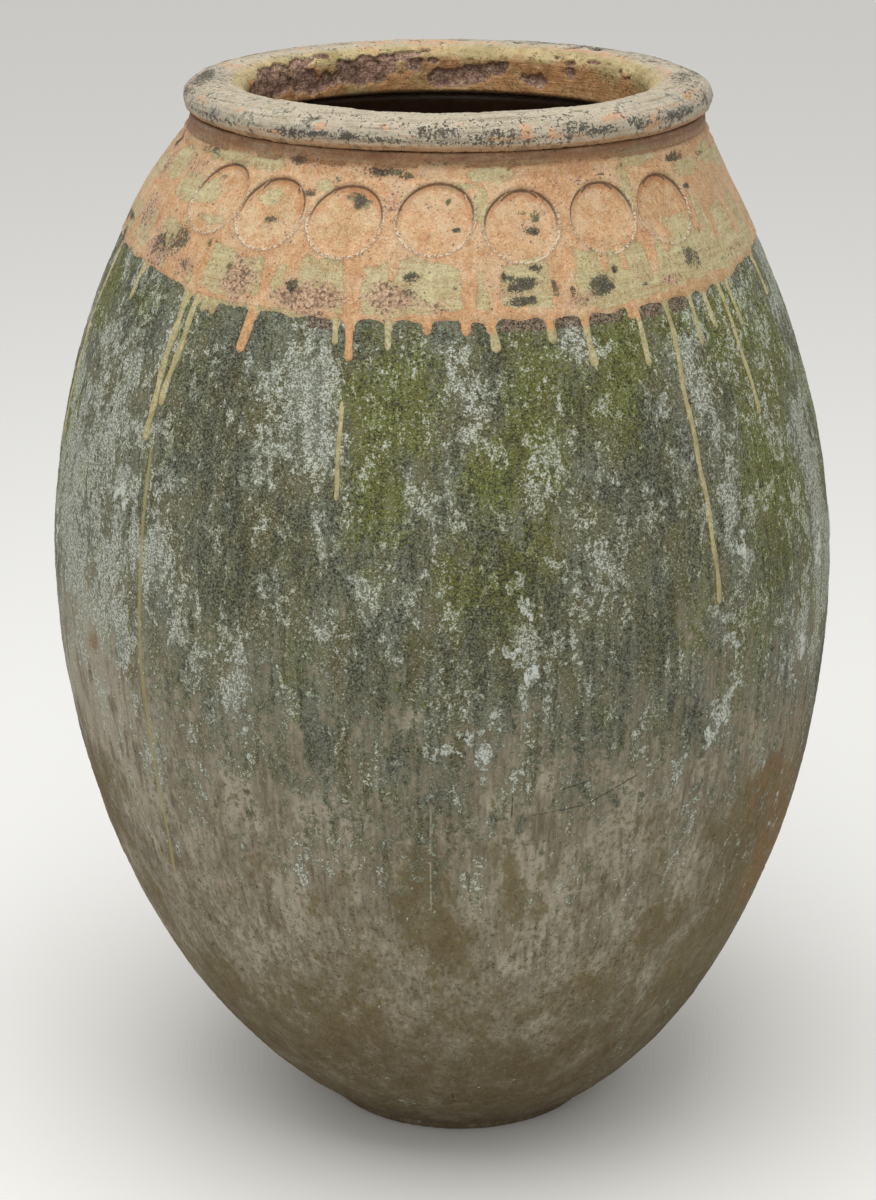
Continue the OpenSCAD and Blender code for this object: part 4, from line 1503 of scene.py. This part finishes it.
spall_dabs = [
    (-112, 168, 7, 30, 0.95), (-121, 160, 7, 26, 0.95), (-131, 152, 6, 20, 0.9), (-141, 142, 5, 14, 0.85),
    (-118, 190, 9, 20, 0.95), (-129, 182, 7, 20, 0.95), (-138, 196, 10, 14, 0.95), (-150, 178, 7, 24, 1),
    (-159, 166, 7, 24, 1), (-156, 192, 9, 16, 1), (-168, 154, 4, 16, 0.9), (-174, 144, 1.8, 8, 0.75),
    (-170, 178, 4, 16, 0.9), (172, 194, 7, 14, 1), (179, 200, 9, 12, 1), (164, 186, 4, 10, 0.9),
    (140, 164, 2.6, 11, 0.85), (132, 152, 5, 9, 0.8), (140, 186, 2.6, 10, 0.8), (119, 160, 2.4, 11, 0.8),
    (125, 148, 1.8, 8, 0.7), (146, 150, 2.2, 9, 0.7), (127, 190, 1.8, 8, 0.7), (113, 176, 1.6, 9, 0.7),
    (-104, 186, 5, 14, 0.85), (-96, 196, 6, 12, 0.85), (152, 198, 5, 10, 0.85), (-176, 176, 2, 8, 0.8),
] + strewn(34, 12, (150, 198), (1.5, 5), (6, 14), (0.7, 0.95), (-70, 70))
rim_holes = [
    (-152, 92, 2.6), (-172, 90, 2.8), (178, 88, 2.6), (160, 97, 3), (143, 104, 2.6), (137, 96, 3.2),
    (112, 98, 3), (-98, 84, 2.6), (-62, 112, 2), (-20, 66, 1.6), (30, 70, 1.8), (66, 92, 2),
    (100, 70, 2.4), (-120, 60, 2.2), (158, 60, 2.4), (-170, 45, 2.2), (-40, 82, 1.8), (8, 96, 1.6),
]
RIDGE_TURN = -14


def turn_on_roll(mesh):
    """Each point's turn round the roll, carried on past 180 down the throat."""
    places = vertex_places(mesh) / MM
    radius = np.hypot(places[:, 0], places[:, 1])
    across = (radius - rim_middle) / rim_half
    upward = (places[:, 2] - rim_centre) / RIM_HALF_HEIGHT
    turn = np.degrees(np.arctan2(upward, across))
    down_throat = 180 - upward * 20
    return np.where((across < -0.7) & (upward < 0), down_throat, turn)


def paint_rim(mesh):
    """Stores the rim's layers, and dents it with holes and a few knocks."""
    angle, height = angle_and_height(mesh)
    turn = turn_on_roll(mesh)
    write_floats(mesh, "grey", 0.2 + 0.62 * dabs(angle, turn, rim_grey_dabs))
    write_floats(mesh, "soot", 0.16 + 0.6 * dabs(angle, turn, rim_soot_dabs))
    write_floats(mesh, "peach", 0.1 + 0.75 * dabs(angle, turn, rim_peach_dabs))
    write_floats(mesh, "spall", dabs(angle, turn, spall_dabs))
    write_floats(mesh, "throat", fade(turn, 108, 140))
    write_floats(mesh, "under", fade(-turn, 14, 34) * (turn < 90))
    write_floats(mesh, "deep", fade(turn, 150, 196))
    write_floats(mesh, "crust", np.zeros_like(angle))
    around = rim_radius * math.pi / HALF_TURN
    dent = np.zeros_like(angle)
    for mark_angle, mark_turn, size in rim_holes:
        across = turn_between(angle, mark_angle) * around * 0.85 / (size * 1.7)
        along = (turn - mark_turn) * 0.42 / size
        dent -= 1.5 * size * np.exp(-((across**2 + along**2) ** 1.6))
    # This layer marks where painted shade fills the small holes.
    write_floats(mesh, "hole_shade", np.clip(-dent / 2.2, 0, 1))
    knocks = strewn(35, 60, (-30, 110), (2, 7), (8, 24), (0.5, 1), (-180, 180))
    ridge_turn = RIDGE_TURN + 4 * np.sin(np.radians(angle) * 3)
    groove = np.exp(-(((turn - ridge_turn) / 7) ** 2))
    groove *= 0.5 + 0.5 * np.sin(np.radians(angle) * 2 + 2.2) ** 2
    write_floats(mesh, "dent", dent - 0.9 * dabs(angle, turn, knocks) - 1.1 * groove)


print("Hollows:", len(spall_dabs), "and small holes:", len(rim_holes))

# %% [markdown]
# ## The finish of the rim
# Outside, a cream slip with level wiping lines shows peach clay where it has worn, under grey
# lichen and black soot. Inside, an olive glaze turns rusty down the throat. The burst hollows show
# the pink-brown body of the clay, with painted shade along their edges, and painted shade fills
# the small holes. The tree that cut the hollows stored where they are, so colour and shape agree.

# %% Rim finish
rim_finish, tree, shader, spot = new_finish("rim_clay")
cloud = spot.noise(30, 3)
patch = spot.noise(13, 4, 0.65)
other_patch = spot.vector("ADD", (2, 1, 4)).noise(15, 4, 0.7)
blot = spot.noise(5, 4, 0.7)
grain = spot.noise(1.9, 2, 0.7)
mottle = (patch * 0.45 + blot * 0.35 + grain * 0.2).sharpen(2.6)
fine = (blot * 0.4 + grain * 0.6).sharpen(1.8)
lines = level_lines(spot, 2.6)
slip = shades(mottle * 0.6 + lines * 0.4, (0.60, 0.55, 0.47), (0.80, 0.76, 0.68))
slip = blend(lines.ramp(0.3, 0.05) * 0.5, slip, linear(0.38, 0.34, 0.28))
peach = spread(painted(tree, "peach"), (other_patch * 0.55 + blot * 0.45).sharpen(1.5), 0.25)
slip = blend(peach * 0.75, slip, shades(blot, (0.72, 0.53, 0.38), (0.84, 0.68, 0.54)))
grey = spread(painted(tree, "grey") * 0.85, mottle, 0.25)
slip = blend(grey * 0.8, slip, shades(fine, (0.36, 0.35, 0.32), (0.68, 0.67, 0.61)))
soot = spread(painted(tree, "soot"), fine * 0.7 + mottle * 0.3, 0.2)
slip = blend(soot * 0.8, slip, linear(0.18, 0.17, 0.15))
olive_glaze = shades((cloud * 0.5 + patch * 0.5).sharpen(1.5), (0.60, 0.53, 0.35), (0.79, 0.73, 0.55))
rust_amount = painted(tree, "peach") * 0.5 + painted(tree, "deep") * 0.45 + 0.22
rusty = spread(rust_amount, cloud * 0.6 + blot * 0.4, 0.5)
olive_glaze = blend(rusty * 0.85, olive_glaze, shades(patch, (0.58, 0.38, 0.21), (0.78, 0.57, 0.37)))
throat_soot = spread(painted(tree, "soot") * 0.5 + 0.12, fine, 0.2)
olive_glaze = blend(throat_soot * 0.5, olive_glaze, linear(0.34, 0.26, 0.18))
surface = blend(painted(tree, "throat"), slip, olive_glaze)
under = shades(patch, (0.64, 0.45, 0.29), (0.76, 0.61, 0.44))
surface = blend(painted(tree, "under") * 0.8, surface, under)
under_marks = spread(painted(tree, "under") * 0.3 + 0.1, mottle, 0.2)
surface = blend(under_marks * 0.5, surface, linear(0.30, 0.24, 0.18))
burst = (painted(tree, "burst") + (fine - 0.5) * 0.4).ramp(0.25, 0.6)
broken = shades(fine, (0.34, 0.24, 0.19), (0.78, 0.64, 0.55))
broken = blend(painted(tree, "chip").ramp(0.5, 0.95) * 0.5, broken, linear(0.27, 0.18, 0.14))
surface = blend(burst, surface, broken)
# Painted shade along the edges of the burst hollows.
hollow_edge_shade = burst * burst.inverse() * 4.0
surface = blend(hollow_edge_shade * 0.5, surface, linear(0.24, 0.16, 0.13))
# Painted shade fills the small holes.
surface = blend(painted(tree, "hole_shade") * 0.85, surface, linear(0.16, 0.13, 0.11))
rim_relief = blot * 0.5 + grain * 0.6 + lines * 0.6
finish(tree, shader, surface, painted(tree, "throat") * -0.3 + 0.85, rim_relief, 0.7)
shader.inputs["Specular IOR Level"].default_value = 0.3
finish_piece("rim_roll", rim, rim_finish, paint_rim, grit=0.8, spall=3.2)
print("Finish: rim,", len(tree.nodes), "nodes")

# %% [markdown]
# ## Lining
# The inside was swilled with a dark glaze. Only its top shows, and it is nearly black in the
# shade of the mouth. It is turned on the same wheel, from the middle of the floor to the collar.

# %% Inner glaze
lining_finish, tree, shader, spot = new_finish("inner_glaze")
cloud = spot.noise(60, 4)
blot = spot.noise(8, 4)
dark_glaze = shades(cloud * 0.6 + blot * 0.4, (0.22, 0.15, 0.11), (0.40, 0.29, 0.20))
finish(tree, shader, dark_glaze, blot * 0.2 + 0.35, blot, 0.5)

LINING_THICK = 1.2
floor_edge = float(inner_radius(inner_heights[0]))
lining_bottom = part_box("inner_glaze")[0].z / MM
lining_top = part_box("inner_glaze")[1].z / MM - 0.5
side_heights = np.linspace(inner_heights[0], lining_top, 110)
rows = [plain_row(0, lining_bottom + 0.2), plain_row(floor_edge, lining_bottom + 0.2)]
rows += [plain_row(inner_radius(height) - 0.1, height) for height in side_heights]
rows += [(inner_radius(height) - LINING_THICK, height, -1, 0, 1, 0, 0) for height in side_heights[::-1]]
rows += [(floor_edge - 20, lining_bottom + 4, -0.6, 0.8, 1, 0, 0)]
rows += [(radius, lining_bottom + 2, 0, 1, 1, 0, 0) for radius in (100, 60, 30, 0)]


def paint_nothing(mesh):
    for name in ("dent", "crust", "spall"):
        write_floats(mesh, name, np.zeros(len(mesh.vertices)))


lining = turned("inner_glaze", rows, 360, crowding=0)
finish_piece("inner_glaze", lining, lining_finish, paint_nothing, swell=0.5, grit=0.3)
print("Lining from", round(lining_bottom, 1), "to", round(lining_top, 1), "mm")

# %% [markdown]
# ## Runs of glaze
# Glaze that was laid on too thickly ran down over the belly in narrow, rounded trails. Each trail
# is a line on the wall, given by a few places. Geometry Nodes sweep a round tube along every line
# and then squash it against the wall, which gives the low, rounded shape of a drip. The half
# width is stored along the line: wide where the run leaves the band, and round at its end.

# %% Trails of glaze
POINT_STEP = 1.6
run_points = []
run_edges = []
run_outs = []
run_halves = []
run_tints = []
for path, width, tint in run_paths:
    heights = np.array([height for _, height in path], float)
    if heights[0] > BAND_FOOT:
        heights[0] = float(glaze_edge(path[0][0])) + 4
    angles = np.array([turn for turn, _ in path], float)
    length = heights[0] - heights[-1]
    count = max(8, int(length / POINT_STEP))
    for step in range(count + 1):
        done_part = step / count
        height = heights[0] - length * done_part
        turn = float(np.interp(-height, -heights, angles)) + 0.12 * math.sin(height * 0.11 + width * 9)
        below_start = heights[0] - height
        above_end = height - heights[-1]
        half = width / 2 * (1 + 0.12 * math.sin(height * 0.23 + angles[0]))
        half *= min(1.0, 0.4 + below_start / 8)
        half *= 1 + 0.2 * math.exp(-(((above_end - width) / width) ** 2))
        tip = min(1.0, above_end / (width * 0.6))
        half *= math.sqrt(max(0.02, 1 - (1 - tip) ** 2))
        if step:
            run_edges.append((len(run_points) - 1, len(run_points)))
        run_points.append(wall_place(turn, height))
        run_outs.extend(wall_out(turn, height))
        run_halves.append(half * MM)
        run_tints.append(fade(height, BAND_FOOT - 4, BAND_FOOT + 2) if tint == MIXED_RUN else tint)
lines_mesh = bpy.data.meshes.new("run_lines")
lines_mesh.from_pydata(run_points, run_edges, [])
lines_mesh.attributes.new("out", "FLOAT_VECTOR", "POINT").data.foreach_set("vector", run_outs)
write_floats(lines_mesh, "half_width", run_halves)
write_floats(lines_mesh, "tint", run_tints)
run_lines = new_object("run_lines", lines_mesh)
print("Runs:", len(run_paths), "lines with", len(run_points), "points")

# %% The trail tree
trail, trail_in = new_shape_tree(
    "lay_glaze_trails", {"Sides": "Int", "Flatness": "Float", "Material": "Material"}
)
spine = kept_attribute(trail, trail_in["Geometry"], "spine",
                       add_node(trail, "GeometryNodeInputPosition"), "FLOAT_VECTOR")
curve = add_node(trail, "GeometryNodeMeshToCurve", {"Mesh": spine})
circle_inputs = {"Resolution": trail_in["Sides"], "Radius": 1.0}
profile = add_node(trail, "GeometryNodeCurvePrimitiveCircle", circle_inputs)
half_width = read_attribute(trail, "half_width")
tube_inputs = {"Curve": curve, "Profile Curve": profile, "Scale": half_width, "Fill Caps": True}
tube = add_node(trail, "GeometryNodeCurveToMesh", tube_inputs)
spine_place = read_attribute(trail, "spine", "FLOAT_VECTOR")
trail_out = read_attribute(trail, "out", "FLOAT_VECTOR")
from_spine = add_node(trail, "GeometryNodeInputPosition").vector("SUBTRACT", spine_place)
rise = from_spine.vector("DOT_PRODUCT", trail_out, output=1)
flattening = trail_out.scaled(rise * (trail_in["Flatness"] - 1.0))
squashed = spine_place.vector("ADD", from_spine.vector("ADD", flattening))
laid = add_node(trail, "GeometryNodeSetPosition", {"Geometry": tube, "Position": squashed})
laid = kept_attribute(trail, laid, "skin", 1.0)
laid = add_node(trail, "GeometryNodeSetShadeSmooth", {"Geometry": laid})
end_shape_tree(trail, laid, trail_in["Material"])
print("Trail tree:", len(trail.nodes), "nodes")

# %% [markdown]
# ## The finish of the runs
# A run has the colour of the coat that it came from: olive, orange, or orange that turns olive as
# it leaves the band. The tint is stored along each line, and fine specks keep it from looking new.

# %% Run finish and piece
run_finish, tree, shader, spot = new_finish("run_glaze")
patch = spot.noise(12, 3)
grain = spot.noise(2.2, 2, 0.7)
run_colour = shades(patch.sharpen(1.5), (0.60, 0.56, 0.38), (0.74, 0.70, 0.53))
orange_run = shades(patch, (0.70, 0.51, 0.33), (0.82, 0.64, 0.45))
run_colour = blend(painted(tree, "tint"), run_colour, orange_run)
run_colour = blend(spread(patch * 0.3 + 0.22, grain, 0.2) * 0.5, run_colour, linear(0.40, 0.37, 0.28))
finish(tree, shader, run_colour, patch * 0.2 + 0.5, grain, 0.25)

trails = run_shape_tree(trail, run_lines, "glaze_runs", Sides=12, Flatness=0.42)
bpy.data.objects.remove(run_lines)
write_floats(trails, "lift", np.zeros(len(trails.vertices)))
write_floats(trails, "corner", np.zeros(len(trails.vertices)))
finish_piece("glaze_runs", trails, run_finish, paint_nothing, grit=0.2, crust=0)
print("Trails:", len(trails.vertices), "points")
bpy.data.objects.remove(stamps)

# %% [markdown]
# ## The floor's paint
# The floor is a plain pale, matt sheet, so that nothing on it draws the eye.

# %% Floor finish
floor_finish, _, shader, _ = new_finish("pale_floor")
shader.inputs["Base Color"].default_value = linear(0.96, 0.96, 0.95)
shader.inputs["Roughness"].default_value = 0.9
floor.data.materials.append(floor_finish)
print("Floor:", FLOOR_HALF * 2, "metres square")

# %% [markdown]
# ## Triangles and bounds
# Each piece's triangle count is printed, and the bounds of the whole visual model are measured.

# %% Sizes and finish
for piece in made_pieces:
    piece.data.calc_loop_triangles()
    print(piece.name, len(piece.data.loop_triangles), "triangles")
low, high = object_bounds()
